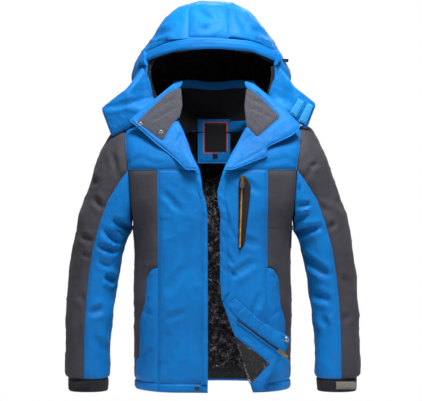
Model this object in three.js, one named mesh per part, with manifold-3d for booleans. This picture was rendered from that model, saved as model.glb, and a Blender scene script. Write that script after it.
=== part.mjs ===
// Hooded ski jacket, hung by the loop at its neck, with the front open and one lower corner folded back.
// Millimetres. +X is the wearer's left, +Y the wearer's back, +Z up.
import * as THREE from 'three';
import { mergeVertices } from 'three/addons/utils/BufferGeometryUtils.js';
import Module from 'manifold-3d';

const wasm = await Module();
wasm.setup();

// Body of the jacket.
const chestHalfWidth = 208;
const chestHalfDepth = 150;
const underarmHeight = 425;
const yokeRise = 151;
const shoulderRise = 136;
const hemBandHeight = 22;
const foldLineX = 144;
const sideSeamX = 160;

// Sleeves.
const cuffHalfWidth = 54;
const cuffHeight = 32;
const cuffDrop = 8;
const sleevePivotOut = 67;
const sleevePivotRise = 75;
const sleeveHeadRadius = 60;
const sleeveLiftCapAngle = 121;

// Collar and hood.
const collarHalfWidth = 112;
const collarHalfDepth = 85;
const collarHeight = 135;
const hoodHalfWidth = 213;
const hoodDepth = 262;
const hoodRise = 306;
const hoodPivotBack = 30;
const hoodPivotRise = 8;
const hoodHeadRadius = 132;

// Cloth walls and gaps.
const shellWall = 8;
const liningWall = 7;
const plateWall = 6;
const collarWall = 5;
const layerGap = 0.5;
const seamGap = 0.4;
const hingeGap = 0.5;

// Fastenings.
const chainWidth = 6;
const chainWall = 3;
const sliderLength = 14;
const sliderWidth = 10;
const sliderWall = 6;
const pullLength = 24;
const pullWidth = 7;
const pullWall = 2.4;
const snapRadius = 6.5;
const snapWall = 3;
const loopWidth = 56;
const loopHeight = 15;
const loopStrap = 4;
const loopWall = 3;
const cuffStrapWidth = 20;
const cuffStrapWall = 3;
const cuffStrapInner = 10;
const cuffStrapOuter = 46;

const yokeHeight = underarmHeight + yokeRise;
const shoulderHeight = yokeHeight + shoulderRise;
const collarBase = shoulderHeight - 32;
const collarTop = collarBase + collarHeight;
const hoodTop = shoulderHeight + hoodRise;
const armholeX = chestHalfWidth + 5;
const sectionCount = 30;
const sleeveCount = 20;
const hoodCount = 26;

const colours = {
  blue: 0x1573cf,
  grey: 0x3f3f45,
  heather: 0x5a5a66,
  black: 0x17171b,
  fur: 0x0e0d12,
  gold: 0xd79a34,
  patch: 0x2c9ae0,
  steel: 0x9a9ca2,
};

const group = new THREE.Group();

function addPiece(name, solid, colour, roughness = 0.75, metalness = 0) {
  const material = new THREE.MeshStandardMaterial({ color: colours[colour], roughness, metalness });
  const mesh = new THREE.Mesh(toGeometry(solid), material);
  mesh.name = name;
  group.add(mesh);
}

function toSolid(geometry) {
  const plain = geometry.index ? geometry.clone() : geometry;
  plain.deleteAttribute('normal');
  plain.deleteAttribute('uv');
  const merged = mergeVertices(plain, 1e-4);
  return new wasm.Manifold(new wasm.Mesh({
    numProp: 3,
    vertProperties: new Float32Array(merged.attributes.position.array),
    triVerts: new Uint32Array(merged.index.array),
  }));
}

function toGeometry(solid) {
  const mesh = solid.getMesh();
  const geometry = new THREE.BufferGeometry();
  geometry.setAttribute('position', new THREE.BufferAttribute(mesh.vertProperties, 3));
  geometry.setIndex(new THREE.BufferAttribute(mesh.triVerts, 1));
  geometry.computeVertexNormals();
  return geometry;
}

// Smooth value of one table column at a height, through every row of the table.
function valueAt(table, height, column) {
  const last = table.length - 1;
  if (height <= table[0][0]) return table[0][column];
  if (height >= table[last][0]) return table[last][column];
  let row = 0;
  while (table[row + 1][0] < height) row += 1;
  const [low, high] = [table[row], table[row + 1]];
  const before = table[Math.max(row - 1, 0)];
  const after = table[Math.min(row + 2, last)];
  const span = high[0] - low[0];
  const t = (height - low[0]) / span;
  const slopeLow = ((high[column] - before[column]) / (high[0] - before[0])) * span;
  const slopeHigh = ((after[column] - low[column]) / (after[0] - low[0])) * span;
  const keep = (1 + 2 * t) * (1 - t) * (1 - t);
  const next = t * t * (3 - 2 * t);
  const rise = t * (1 - t) * (1 - t);
  const fall = t * t * (t - 1);
  return keep * low[column] + next * high[column] + rise * slopeLow + fall * slopeHigh;
}

// Closed solid through rounded sections, each { z, cx, cy, a, b, power }.
function loft(sections, count = sectionCount) {
  const positions = [];
  const indices = [];
  for (const { z, cx, cy, a, b, power } of sections) {
    for (let i = 0; i < count; i += 1) {
      const angle = (2 * Math.PI * i) / count;
      const [c, s] = [Math.cos(angle), Math.sin(angle)];
      const x = cx + a * Math.sign(c) * Math.abs(c) ** (2 / power);
      const y = cy + b * Math.sign(s) * Math.abs(s) ** (2 / power);
      positions.push(x, y, z);
    }
  }
  for (let ring = 0; ring < sections.length - 1; ring += 1) {
    for (let i = 0; i < count; i += 1) {
      const next = (i + 1) % count;
      const [p, q] = [ring * count + i, ring * count + next];
      indices.push(p, q, q + count, p, q + count, p + count);
    }
  }
  const top = (sections.length - 1) * count;
  for (let i = 1; i < count - 1; i += 1) {
    indices.push(0, i + 1, i);
    indices.push(top, top + i, top + i + 1);
  }
  const geometry = new THREE.BufferGeometry();
  geometry.setAttribute('position', new THREE.Float32BufferAttribute(positions, 3));
  geometry.setIndex(indices);
  return toSolid(geometry);
}

// Outline moved inwards by a distance, so that neighbours cut on one line keep a gap.
function inset(outline, distance) {
  const area = outline.reduce((sum, [x, z], i) => {
    const [nextX, nextZ] = outline[(i + 1) % outline.length];
    return sum + x * nextZ - nextX * z;
  }, 0);
  const turn = area > 0 ? 1 : -1;
  return outline.map((point, i) => {
    const before = outline[(i + outline.length - 1) % outline.length];
    const after = outline[(i + 1) % outline.length];
    const d1 = new THREE.Vector2(point[0] - before[0], point[1] - before[1]).normalize();
    const d2 = new THREE.Vector2(after[0] - point[0], after[1] - point[1]).normalize();
    const n1 = new THREE.Vector2(-d1.y * turn, d1.x * turn);
    const n2 = new THREE.Vector2(-d2.y * turn, d2.x * turn);
    const scale = distance / Math.max(1 + n1.dot(n2), 0.4);
    return [point[0] + (n1.x + n2.x) * scale, point[1] + (n1.y + n2.y) * scale];
  });
}

// Outline in the front view, given depth from the front face at yFront to the back face at yBack.
function prismGeometry(outline, yFront, yBack, gap = seamGap / 2) {
  const shape = new THREE.Shape(inset(outline, gap).map(([x, z]) => new THREE.Vector2(x, z)));
  const geometry = new THREE.ExtrudeGeometry(shape, { depth: yBack - yFront, bevelEnabled: false });
  geometry.rotateX(Math.PI / 2);
  geometry.translate(0, yBack, 0);
  return geometry;
}

function prism(outline, yFront, yBack, gap) {
  return toSolid(prismGeometry(outline, yFront, yBack, gap));
}

// Flat plate whose front face lies on the plane y = level + slopeX * |x| + slopeZ * z.
function tiltedPlate(outline, plane, wall) {
  const geometry = prismGeometry(outline, 0, wall);
  const position = geometry.attributes.position;
  for (let i = 0; i < position.count; i += 1) {
    const y = plane.level + plane.slopeX * Math.abs(position.getX(i)) + plane.slopeZ * position.getZ(i);
    position.setY(i, position.getY(i) + y);
  }
  return toSolid(geometry);
}

function box(x0, x1, y0, y1, z0, z1) {
  const geometry = new THREE.BoxGeometry(x1 - x0, y1 - y0, z1 - z0);
  geometry.translate((x0 + x1) / 2, (y0 + y1) / 2, (z0 + z1) / 2);
  return toSolid(geometry);
}

function mirrored(outline) {
  return outline.map(([x, z]) => [-x, z]);
}

// The torso, the sleeves and the hood are shells between two offsets of one smooth form.
const torsoTable = [
  [0, chestHalfWidth, chestHalfDepth - 2, 2.4],
  [underarmHeight * 0.45, chestHalfWidth + 1, chestHalfDepth, 2.4],
  [underarmHeight - 35, chestHalfWidth, chestHalfDepth, 2.4],
  [underarmHeight + 15, chestHalfWidth + 10, chestHalfDepth, 2.4],
  [underarmHeight + 75, chestHalfWidth + 50, chestHalfDepth, 2.4],
  [yokeHeight, chestHalfWidth + 62, chestHalfDepth - 2, 2.4],
  [yokeHeight + 45, chestHalfWidth + 64, chestHalfDepth - 10, 2.4],
  [shoulderHeight - 62, chestHalfWidth + 62, chestHalfDepth - 26, 2.3],
  [shoulderHeight - 36, chestHalfWidth + 54, chestHalfDepth - 50, 2.2],
  [shoulderHeight - 16, chestHalfWidth + 42, chestHalfDepth - 80, 2.1],
  [shoulderHeight - 4, chestHalfWidth + 30, chestHalfDepth - 112, 2],
  [shoulderHeight, chestHalfWidth + 22, chestHalfDepth - 132, 2],
];

const torsoHeights = [
  -6, underarmHeight * 0.25, underarmHeight * 0.5, underarmHeight - 60, underarmHeight - 10,
  underarmHeight + 25, underarmHeight + 60, underarmHeight + 105, yokeHeight, yokeHeight + 40,
  shoulderHeight - 62, shoulderHeight - 36, shoulderHeight - 16, shoulderHeight - 4, shoulderHeight,
];

// Heights near the closed top of a form move with its offset, so that its wall stays even.
function shifted(z, offset, top, depth) {
  return z + offset * THREE.MathUtils.clamp((z - top + depth) / depth, 0, 1);
}

function torso(offset) {
  return loft(torsoHeights.map((z) => ({
    z: shifted(z, offset, shoulderHeight, 62),
    cx: 0,
    cy: 0,
    a: valueAt(torsoTable, z, 1) + offset,
    b: valueAt(torsoTable, z, 2) + offset,
    power: valueAt(torsoTable, z, 3),
  })));
}

function torsoFront(x, height, offset = 0) {
  const a = valueAt(torsoTable, height, 1) + offset;
  const b = valueAt(torsoTable, height, 2) + offset;
  const power = valueAt(torsoTable, height, 3);
  return -b * (1 - (Math.abs(x) / a) ** power) ** (1 / power);
}

const torsoOuter = torso(0);
const torsoInner = torso(-shellWall);
const liningOuter = torso(-shellWall - layerGap);
const liningInner = torso(-shellWall - layerGap - liningWall);
const trimOuter = torso(layerGap + 4.5);
const trimInner = torso(layerGap);
const shell = torsoOuter.subtract(torsoInner);
const lining = liningOuter.subtract(liningInner);
const trim = trimOuter.subtract(trimInner);

const sleeveTable = [
  [-cuffDrop, 2 * cuffHalfWidth - 2, 64, 50, -14],
  [cuffHeight - cuffDrop, 2 * cuffHalfWidth, 63, 53, -13],
  [cuffHeight - cuffDrop + 8, 118, 60, 56, -13],
  [underarmHeight - 325, 118, 60, 60, -12],
  [underarmHeight - 225, 124, 51, 64, -9],
  [underarmHeight - 125, 130, 38, 70, -6],
  [underarmHeight - 45, 139, 18, 78, -3],
  [underarmHeight - 8, 148, 3, 82, 0],
  [underarmHeight + 12, 161, -13, 85, 0],
  [underarmHeight + 35, 188, -44, 88, 0],
  [underarmHeight + 75, 212, -85, 94, 0],
  [yokeHeight, 207, -104, 97, 0],
  [yokeHeight + 55, 188, -106, 88, 0],
  [shoulderHeight - 46, 172, -108, 68, 0],
  [shoulderHeight - 22, 150, -102, 46, 0],
  [shoulderHeight - 12, 118, -92, 26, 0],
];

const sleeveHeights = [
  underarmHeight - 325, underarmHeight - 225, underarmHeight - 125, underarmHeight - 45,
  underarmHeight - 8, underarmHeight + 12, underarmHeight + 35, underarmHeight + 75, yokeHeight - 30,
  yokeHeight + 10, yokeHeight + 55, shoulderHeight - 46, shoulderHeight - 22, shoulderHeight - 12,
];

function sleeve(side, offset, heights) {
  return loft(heights.map((z) => {
    const width = valueAt(sleeveTable, z, 1);
    return {
      z: shifted(z, offset, shoulderHeight - 12, 46),
      cx: side * (armholeX + valueAt(sleeveTable, z, 2) + width / 2),
      cy: valueAt(sleeveTable, z, 4),
      a: width / 2 + offset,
      b: valueAt(sleeveTable, z, 3) + offset,
      power: 2.1,
    };
  }), sleeveCount);
}

// Half of the front view, from the armhole line outwards.
function armholeOutline(side) {
  const edge = [
    [armholeX - 1, -20],
    [armholeX - 1, underarmHeight],
    [armholeX + 3, underarmHeight + 75],
    [armholeX + 8, yokeHeight],
    [armholeX + 17, yokeHeight + 64],
    [armholeX + 24, shoulderHeight + 12],
    [armholeX + 260, shoulderHeight + 12],
    [armholeX + 260, -20],
  ];
  return side > 0 ? edge : mirrored(edge);
}

// Torso region between the armholes.
const torsoRegion = [
  [armholeX - 1, -20],
  [armholeX - 1, underarmHeight],
  [armholeX + 3, underarmHeight + 75],
  [armholeX + 8, yokeHeight],
  [armholeX + 17, yokeHeight + 64],
  [armholeX + 24, shoulderHeight + 12],
];
const torsoOutline = [...torsoRegion, ...mirrored(torsoRegion).reverse()];
const torsoBand = prism(torsoOutline, -400, 400);

const collarCentre = { x: 4, y: 10 };

function collarTube(offset, zLow, zHigh) {
  return loft([zLow, zHigh].map((z) => ({
    z,
    cx: collarCentre.x,
    cy: collarCentre.y,
    a: collarHalfWidth + offset,
    b: collarHalfDepth + offset,
    power: 2.2,
  })), 24);
}

const neckHole = collarTube(seamGap, collarBase - 34, collarTop + 40);
const bodyShell = shell.intersect(torsoBand).subtract(neckHole);
const bodyLiningShell = lining.intersect(torsoBand).subtract(neckHole);

// Edges of the open front, from the hem to the neck.
const rightEdgeX = -13;
const rightNeckEdge = [
  [-33, yokeHeight],
  [-56, yokeHeight + 47],
  [-62, yokeHeight + 68],
  [-78, yokeHeight + 109],
  [-96, shoulderHeight + 14],
];
const leftNeckEdge = [
  [28, yokeHeight],
  [50, yokeHeight + 47],
  [63, yokeHeight + 68],
  [84, yokeHeight + 109],
  [100, shoulderHeight + 14],
];
const rightPlacketEdge = [
  [rightEdgeX, yokeHeight - 117],
  [-18, yokeHeight - 78],
  [-26, yokeHeight - 57],
  [-28, yokeHeight - 31],
  [-33, yokeHeight],
];
const leftPlacketEdge = [
  [19, underarmHeight + 10],
  [21, yokeHeight - 120],
  [14, yokeHeight - 86],
  [12, yokeHeight - 56],
  [20, yokeHeight - 26],
  [28, yokeHeight],
];
const foldTop = [24, 238];
const foldMiddle = [58, 147];
const foldBottom = [105, 0];

const far = armholeX + 80;
const frontHalf = box(-far, far, -400, -seamGap / 2, -50, shoulderHeight + 60);
const backHalf = box(-far, far, seamGap / 2, 400, -50, shoulderHeight + 60);
const frontShell = bodyShell.intersect(frontHalf);
const backShell = bodyShell.intersect(backHalf);

// Yokes.
function yokeOutline(neckEdge, side) {
  return [...neckEdge, [side * far, shoulderHeight + 14], [side * far, yokeHeight]];
}
addPiece('front_yoke_right', frontShell.intersect(prism(yokeOutline(rightNeckEdge, -1), -400, 0)), 'blue');
addPiece('front_yoke_left', frontShell.intersect(prism(yokeOutline(leftNeckEdge, 1), -400, 0)), 'blue');
const yokeTop = shoulderHeight + 14;
const backYokeOutline = [[-far, yokeHeight], [far, yokeHeight], [far, yokeTop], [-far, yokeTop]];
addPiece('back_yoke', backShell.intersect(prism(backYokeOutline, 0, 400)), 'blue');

// Back panel, side panels and pocket panels, all ending at the hem band.
const backPanelOutline = [
  [-sideSeamX, hemBandHeight], [sideSeamX, hemBandHeight], [sideSeamX, yokeHeight], [-sideSeamX, yokeHeight],
];
addPiece('back_panel', backShell.intersect(prism(backPanelOutline, 0, 400)), 'blue');

const pocketTop = underarmHeight - 103;
const pocketEdge = [
  [foldLineX, pocketTop],
  [foldLineX + 17, pocketTop - 4],
  [foldLineX + 30, pocketTop - 24],
  [foldLineX + 36, pocketTop - 94],
  [foldLineX + 50, pocketTop - 138],
  [foldLineX + 52, hemBandHeight + 62],
  [far, hemBandHeight + 62],
];
const sideFrontOutline = [...pocketEdge, [far, yokeHeight], [foldLineX, yokeHeight]];
const pocketOutline = [...pocketEdge, [far, hemBandHeight], [foldLineX, hemBandHeight]];
const sideBackOutline = [
  [sideSeamX, hemBandHeight], [far, hemBandHeight], [far, yokeHeight], [sideSeamX, yokeHeight],
];
const pocketFront = -seamGap / 2 - 40;
for (const [name, side] of [['right', -1], ['left', 1]]) {
  const [front, back, pocket] = [sideFrontOutline, sideBackOutline, pocketOutline]
    .map((outline) => (side > 0 ? outline : mirrored(outline)));
  const frontPart = prism(front, -400, 0.01);
  const backPart = prism(back, 0, 400);
  const lowStrip = prism(side > 0 ? sideBackOutline : mirrored(sideBackOutline), pocketFront + seamGap, 0.02);
  addPiece(`side_panel_${name}`, bodyShell.intersect(frontPart.add(backPart).add(lowStrip)), 'grey');
  addPiece(`pocket_panel_${name}`, bodyShell.intersect(prism(pocket, -400, pocketFront)), 'blue');
}

// Hem band around the back and the sides, and the lining inside.
const hemOutline = [[-far, 0], [far, 0], [far, hemBandHeight], [-far, hemBandHeight]];
const frontOpening = box(-foldLineX, foldLineX, -400, 0, -60, yokeHeight);
const hemRing = bodyShell.intersect(prism(hemOutline, -400, 400));
addPiece('hem_band', hemRing.subtract(frontOpening), 'blue');

const neckOpening = prism([...rightNeckEdge, ...[...leftNeckEdge].reverse()], -400, 0, -seamGap / 2);
const liningOutline = [[-far, 6], [far, 6], [far, shoulderHeight - 26], [-far, shoulderHeight - 26]];
const liningBody = bodyLiningShell.intersect(prism(liningOutline, -400, 400));
addPiece('body_lining', liningBody.subtract(frontOpening).subtract(neckOpening), 'fur', 0.95);

// Front panels, which swing outwards on the fold line beside each pocket.
const rightPanelOutline = [
  [-foldLineX, hemBandHeight], [rightEdgeX, hemBandHeight], ...rightPlacketEdge, [-foldLineX, yokeHeight],
];
const rightHemOutline = [
  [-foldLineX, 0], [rightEdgeX, 0], [rightEdgeX, hemBandHeight], [-foldLineX, hemBandHeight],
];
const rightLiningOutline = [
  [-foldLineX, 6], [rightEdgeX - 4, 6], [rightEdgeX - 4, yokeHeight - 130], [-40, yokeHeight],
  [-foldLineX, yokeHeight],
];
addPiece('front_panel_right', frontShell.intersect(prism(rightPanelOutline, -400, 0)), 'blue');
addPiece('hem_band_right', frontShell.intersect(prism(rightHemOutline, -400, 0)), 'blue');
addPiece('lining_right', bodyLiningShell.intersect(prism(rightLiningOutline, -400, 0)), 'fur', 0.95);

const leftPanelOutline = [
  [foldLineX, 0], [foldLineX, yokeHeight], ...[...leftPlacketEdge].reverse(), [19, foldTop[1] + 52],
  foldTop, foldMiddle, foldBottom,
];
const leftLiningOutline = [
  [foldLineX, 6], [foldLineX, yokeHeight], [40, yokeHeight], [26, yokeHeight - 100],
  [26, foldTop[1]], [foldMiddle[0] + 5, foldMiddle[1]], [foldBottom[0] + 5, 6],
];
addPiece('front_panel_left', frontShell.intersect(prism(leftPanelOutline, -400, 0)), 'blue');
addPiece('lining_left', bodyLiningShell.intersect(prism(leftLiningOutline, -400, 0)), 'fur', 0.95);

const placketOutline = [
  [-68, yokeHeight], [-54, yokeHeight - 16], [-41, yokeHeight - 37], [-30, yokeHeight - 76],
  [-29, hemBandHeight], [rightEdgeX, hemBandHeight], ...rightPlacketEdge,
];
addPiece('placket', trim.intersect(prism(placketOutline, -400, 0)), 'blue');

// Spread collar: flat lapels and heather facings on one slanting plane.
const lapelRise = 0.5217;
const lapelStandOff = 22.8;
const lapelSideDrop = 18.4496;
const lapelPlane = {
  level: -chestHalfDepth - lapelStandOff - lapelRise * yokeHeight,
  slopeX: lapelSideDrop / chestHalfWidth,
  slopeZ: lapelRise,
};
const rightLapelOutline = [
  [-78, yokeHeight + 239], [-104, yokeHeight + 231], [-219, yokeHeight + 133], [-191, yokeHeight + 109],
  [-146, yokeHeight + 68], [-118, yokeHeight + 47], [-93, yokeHeight + 26], [-68, yokeHeight + 1],
  [-34, yokeHeight + 1], [-56, yokeHeight + 47], [-62, yokeHeight + 68], [-78, yokeHeight + 109],
  [-91, yokeHeight + 130], [-102, yokeHeight + 127], [-130, yokeHeight + 77], [-198, yokeHeight + 128],
  [-119, yokeHeight + 206], [-84, yokeHeight + 222],
];
const rightFacingOutline = [
  [-119, yokeHeight + 206], [-90, yokeHeight + 170], [-98, yokeHeight + 142],
  [-102, yokeHeight + 127], [-130, yokeHeight + 77], [-198, yokeHeight + 128],
];
const leftLapelOutline = [
  [84, yokeHeight + 239], [110, yokeHeight + 231], [197, yokeHeight + 156], [232, yokeHeight + 118],
  [209, yokeHeight + 92], [141, yokeHeight + 60], [141, yokeHeight + 36], [52, yokeHeight + 1],
  [28, yokeHeight + 1], [40, yokeHeight + 26], [63, yokeHeight + 68], [84, yokeHeight + 109],
  [92, yokeHeight + 116], [115, yokeHeight + 88], [177, yokeHeight + 141], [121, yokeHeight + 200],
  [101, yokeHeight + 214], [88, yokeHeight + 222],
];
const leftFacingOutline = [
  [121, yokeHeight + 200], [101, yokeHeight + 214], [92, yokeHeight + 172],
  [92, yokeHeight + 116], [115, yokeHeight + 88], [177, yokeHeight + 141],
];
addPiece('lapel_right', tiltedPlate(rightLapelOutline, lapelPlane, plateWall), 'blue');
addPiece('lapel_left', tiltedPlate(leftLapelOutline, lapelPlane, plateWall), 'blue');
addPiece('collar_facing_right', tiltedPlate(rightFacingOutline, lapelPlane, plateWall), 'heather');
addPiece('collar_facing_left', tiltedPlate(leftFacingOutline, lapelPlane, plateWall), 'heather');

function lapelSnap(x, height) {
  const y = lapelPlane.level + lapelPlane.slopeX * Math.abs(x) + lapelPlane.slopeZ * height;
  return snapCap(0, 0, 0).rotate([-Math.atan(lapelPlane.slopeZ) * (180 / Math.PI), 0, 0])
    .translate([x, y - layerGap - 1, height]);
}

// Press stud cap, its flat face towards -Y.
function snapCap(x, y, z) {
  const geometry = new THREE.CylinderGeometry(snapRadius, snapRadius, snapWall, 20);
  geometry.translate(x, y - snapWall / 2, z);
  return toSolid(geometry);
}

// Collar standing behind the neck: blue outside, black lining inside.
const frontOfLapels = tiltedPlate(
  [[-300, 0], [300, 0], [300, collarTop + 50], [-300, collarTop + 50]],
  { ...lapelPlane, level: lapelPlane.level - 300 },
  300 + plateWall + layerGap,
);
const collarFrontCut = box(-300, 300, -400, -44, 0, collarTop + 50).add(frontOfLapels);
const collarRing = collarTube(0, collarBase, collarTop)
  .subtract(collarTube(-collarWall, collarBase - 9, collarTop + 9));
const collarLiningBase = collarBase + 38;
const collarInside = collarTube(-collarWall - layerGap, collarLiningBase, collarTop - 6)
  .subtract(collarTube(-2 * collarWall - layerGap, collarBase - 9, collarTop + 9));
addPiece('collar', collarRing.subtract(collarFrontCut), 'blue');
addPiece('collar_lining', collarInside.subtract(collarFrontCut), 'black', 0.9);

// Blue facing below the collar lining, with a plain label, and the hang loop above it.
const neckBack = collarCentre.y + collarHalfDepth - 2 * collarWall - layerGap;
const facingFront = neckBack - 5.2;
const facingOutline = [
  [-40, yokeHeight + 22], [48, yokeHeight + 22], [48, collarLiningBase], [-40, collarLiningBase],
];
addPiece('neck_facing', prism(facingOutline, facingFront, facingFront + 3), 'blue');
const [labelLow, labelHigh] = [yokeHeight + 49, yokeHeight + 134];
const labelOutline = [[-25, labelLow], [41, labelLow], [41, labelHigh], [-25, labelHigh]];
addPiece('neck_label', prism(labelOutline, facingFront - seamGap - 1, facingFront - seamGap), 'black');

const loopBase = collarBase + 46;
const loopFront = neckBack - 2.6 - loopWall;
const loopX = collarCentre.x;
function rectangle(x, z, width, height) {
  return [[x - width / 2, z], [x + width / 2, z], [x + width / 2, z + height], [x - width / 2, z + height]];
}
const loopOuter = prism(rectangle(loopX, loopBase, loopWidth, loopHeight), loopFront, loopFront + loopWall);
const loopHole = prism(
  rectangle(loopX, loopBase + loopStrap, loopWidth - 2 * loopStrap, loopHeight - 2 * loopStrap),
  loopFront - 5,
  loopFront + loopWall + 5,
);
addPiece('hang_loop', loopOuter.subtract(loopHole), 'black');
const bearing = new THREE.Vector3(loopX, loopFront + loopWall / 2, loopBase + loopHeight - loopStrap);

// Snaps of the collar and the hem.
addPiece('collar_snap_upper', lapelSnap(-188, yokeHeight + 120), 'steel', 0.35, 0.9);
addPiece('collar_snap_lower', lapelSnap(-134, yokeHeight + 98), 'steel', 0.35, 0.9);
const hemSnapX = -40;
const hemSnapY = torsoFront(hemSnapX, 8) - layerGap;
addPiece('hem_snap', snapCap(hemSnapX, hemSnapY, 11), 'black', 0.4);

// Hood: a shell around the head, open to the front below its brim.
const hoodTable = [
  [shoulderHeight + 8, hoodHalfWidth - 44, -62, 118],
  [shoulderHeight + 48, hoodHalfWidth - 18, -70, 146],
  [shoulderHeight + 98, hoodHalfWidth - 4, -82, 172],
  [shoulderHeight + 140, hoodHalfWidth - 10, -90, 184],
  [shoulderHeight + 182, hoodHalfWidth - 34, -92, 184],
  [shoulderHeight + 223, hoodHalfWidth - 66, -82, 172],
  [shoulderHeight + 265, hoodHalfWidth - 102, -58, 146],
  [shoulderHeight + 290, hoodHalfWidth - 134, -30, 112],
  [hoodTop - 8, hoodHalfWidth - 160, 2, 78],
  [hoodTop, hoodHalfWidth - 190, 24, 52],
];
const hoodBackScale = hoodDepth / (184 + 78);
function hood(offset) {
  return loft(hoodTable.map(([z, halfWidth, yFront, yBack], i) => ({
    z: shifted(z, offset, hoodTop, 83) + (i === 0 ? -20 : 0),
    cx: -4,
    cy: (yFront + yBack * hoodBackScale) / 2,
    a: halfWidth + offset,
    b: (yBack * hoodBackScale - yFront) / 2 + offset,
    power: 2.1,
  })), hoodCount);
}
const pivotZ = shoulderHeight + hoodPivotRise;
function hoodCylinder(radius) {
  const geometry = new THREE.CylinderGeometry(radius, radius, 700, 48);
  geometry.rotateZ(Math.PI / 2);
  geometry.translate(0, hoodPivotBack, pivotZ);
  return toSolid(geometry);
}
const brimLow = shoulderHeight + 182;
const hoodFrontEdge = -36;
const faceOutline = [
  [-260, shoulderHeight - 60], [260, shoulderHeight - 60], [260, brimLow - 40], [178, brimLow - 31],
  [105, brimLow - 5], [-8, brimLow], [-99, brimLow - 5], [-163, brimLow - 21], [-194, brimLow - 38],
  [-260, brimLow - 46],
];
const faceOpening = prism(faceOutline, -400, hoodFrontEdge, 0);
const hoodFoot = box(-400, 400, -400, 400, 0, collarBase + 32);
const hoodShell = hood(0).subtract(hood(-shellWall)).subtract(faceOpening).subtract(hoodFoot);
const hoodLiningShell = hood(-shellWall - layerGap).subtract(hood(-shellWall - layerGap - liningWall))
  .subtract(faceOpening).subtract(hoodFoot);
const outsideHead = hoodCylinder(hoodHeadRadius + hingeGap);
const insideHead = hoodCylinder(hoodHeadRadius);
const collarClear = collarTube(seamGap, 0, collarTop + 2);
const neckRing = hoodShell.intersect(insideHead).subtract(collarClear);
addPiece('hood_neck', neckRing, 'blue');

const brimTop = brimLow + 30;
const brimOutline = [
  [-300, brimLow - 120], [300, brimLow - 120], [300, brimTop - 36], [175, brimTop - 30], [105, brimTop - 6],
  [-8, brimTop], [-64, brimTop], [-110, brimTop - 6], [-174, brimTop - 28], [-300, brimTop - 36],
];
const brimRegion = prism(brimOutline, -400, -20);
const brimClear = prism(brimOutline, -400, -20 + seamGap, -seamGap / 2);
const hoodUpper = hoodShell.subtract(outsideHead);
addPiece('hood_brim', hoodUpper.intersect(brimRegion), 'blue');
const crown = hoodUpper.subtract(brimClear);
const crownLeftX = 43;
const crownRightX = -65;
function crownBand(x0, x1) {
  return box(x0 + seamGap / 2, x1 - seamGap / 2, -400, 400, 0, hoodTop + 60);
}
addPiece('hood_centre', crown.intersect(crownBand(crownRightX, crownLeftX)), 'blue');
addPiece('hood_side_right', crown.intersect(crownBand(-400, crownRightX)), 'blue');
addPiece('hood_side_left', crown.intersect(crownBand(crownLeftX, 400)), 'blue');
addPiece('hood_lining', hoodLiningShell.subtract(outsideHead), 'fur', 0.95);

// Front wings of the hood, lying over the shoulders, with two hook-and-loop patches on the left one.
const wingRise = -0.0862;
const wingSweep = 0.0992;
const wingFront = -58.7408;
const leftWingSetBack = 10;
const wingPlane = {
  level: wingFront - wingRise * shoulderHeight - wingSweep * chestHalfWidth,
  slopeX: wingSweep,
  slopeZ: wingRise,
};
const leftWingPlane = { ...wingPlane, level: wingPlane.level + leftWingSetBack };
const rightWingOutline = [
  [-(chestHalfWidth - 8), shoulderHeight + 148],
  [-(chestHalfWidth + 10), shoulderHeight + 102],
  [-(chestHalfWidth + 20), shoulderHeight + 79],
  [-(chestHalfWidth + 86), shoulderHeight + 27],
  [-(chestHalfWidth + 59), shoulderHeight - 47],
  [-(chestHalfWidth + 14), shoulderHeight - 24],
  [-(chestHalfWidth - 12), shoulderHeight - 2],
  [-(chestHalfWidth - 36), shoulderHeight + 46],
  [-(chestHalfWidth - 14), shoulderHeight + 111],
];
const leftWingOutline = [
  [chestHalfWidth - 15, shoulderHeight + 148],
  [chestHalfWidth - 3, shoulderHeight + 122],
  [chestHalfWidth + 8, shoulderHeight + 88],
  [chestHalfWidth + 22, shoulderHeight + 74],
  [chestHalfWidth + 66, shoulderHeight + 39],
  [chestHalfWidth + 41, shoulderHeight - 28],
  [chestHalfWidth + 16, shoulderHeight - 7],
  [chestHalfWidth - 18, shoulderHeight + 12],
  [chestHalfWidth - 50, shoulderHeight + 60],
  [chestHalfWidth - 37, shoulderHeight + 88],
];
addPiece('hood_wing_right', tiltedPlate(rightWingOutline, wingPlane, plateWall), 'blue');
addPiece('hood_wing_left', tiltedPlate(leftWingOutline, leftWingPlane, plateWall), 'blue');
const patchWall = 1.6;
const patchPlane = { ...leftWingPlane, level: leftWingPlane.level - seamGap - patchWall };
const innerPatch = [
  [chestHalfWidth + 17, shoulderHeight + 55],
  [chestHalfWidth + 34, shoulderHeight + 45],
  [chestHalfWidth + 12, shoulderHeight + 4],
  [chestHalfWidth - 4, shoulderHeight + 16],
];
const outerPatch = [
  [chestHalfWidth + 43, shoulderHeight + 43],
  [chestHalfWidth + 58, shoulderHeight + 35],
  [chestHalfWidth + 38, shoulderHeight - 14],
  [chestHalfWidth + 19, shoulderHeight - 6],
];
addPiece('wing_patch_inner', tiltedPlate(innerPatch, patchPlane, patchWall), 'patch', 0.9);
addPiece('wing_patch_outer', tiltedPlate(outerPatch, patchPlane, patchWall), 'patch', 0.9);

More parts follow.
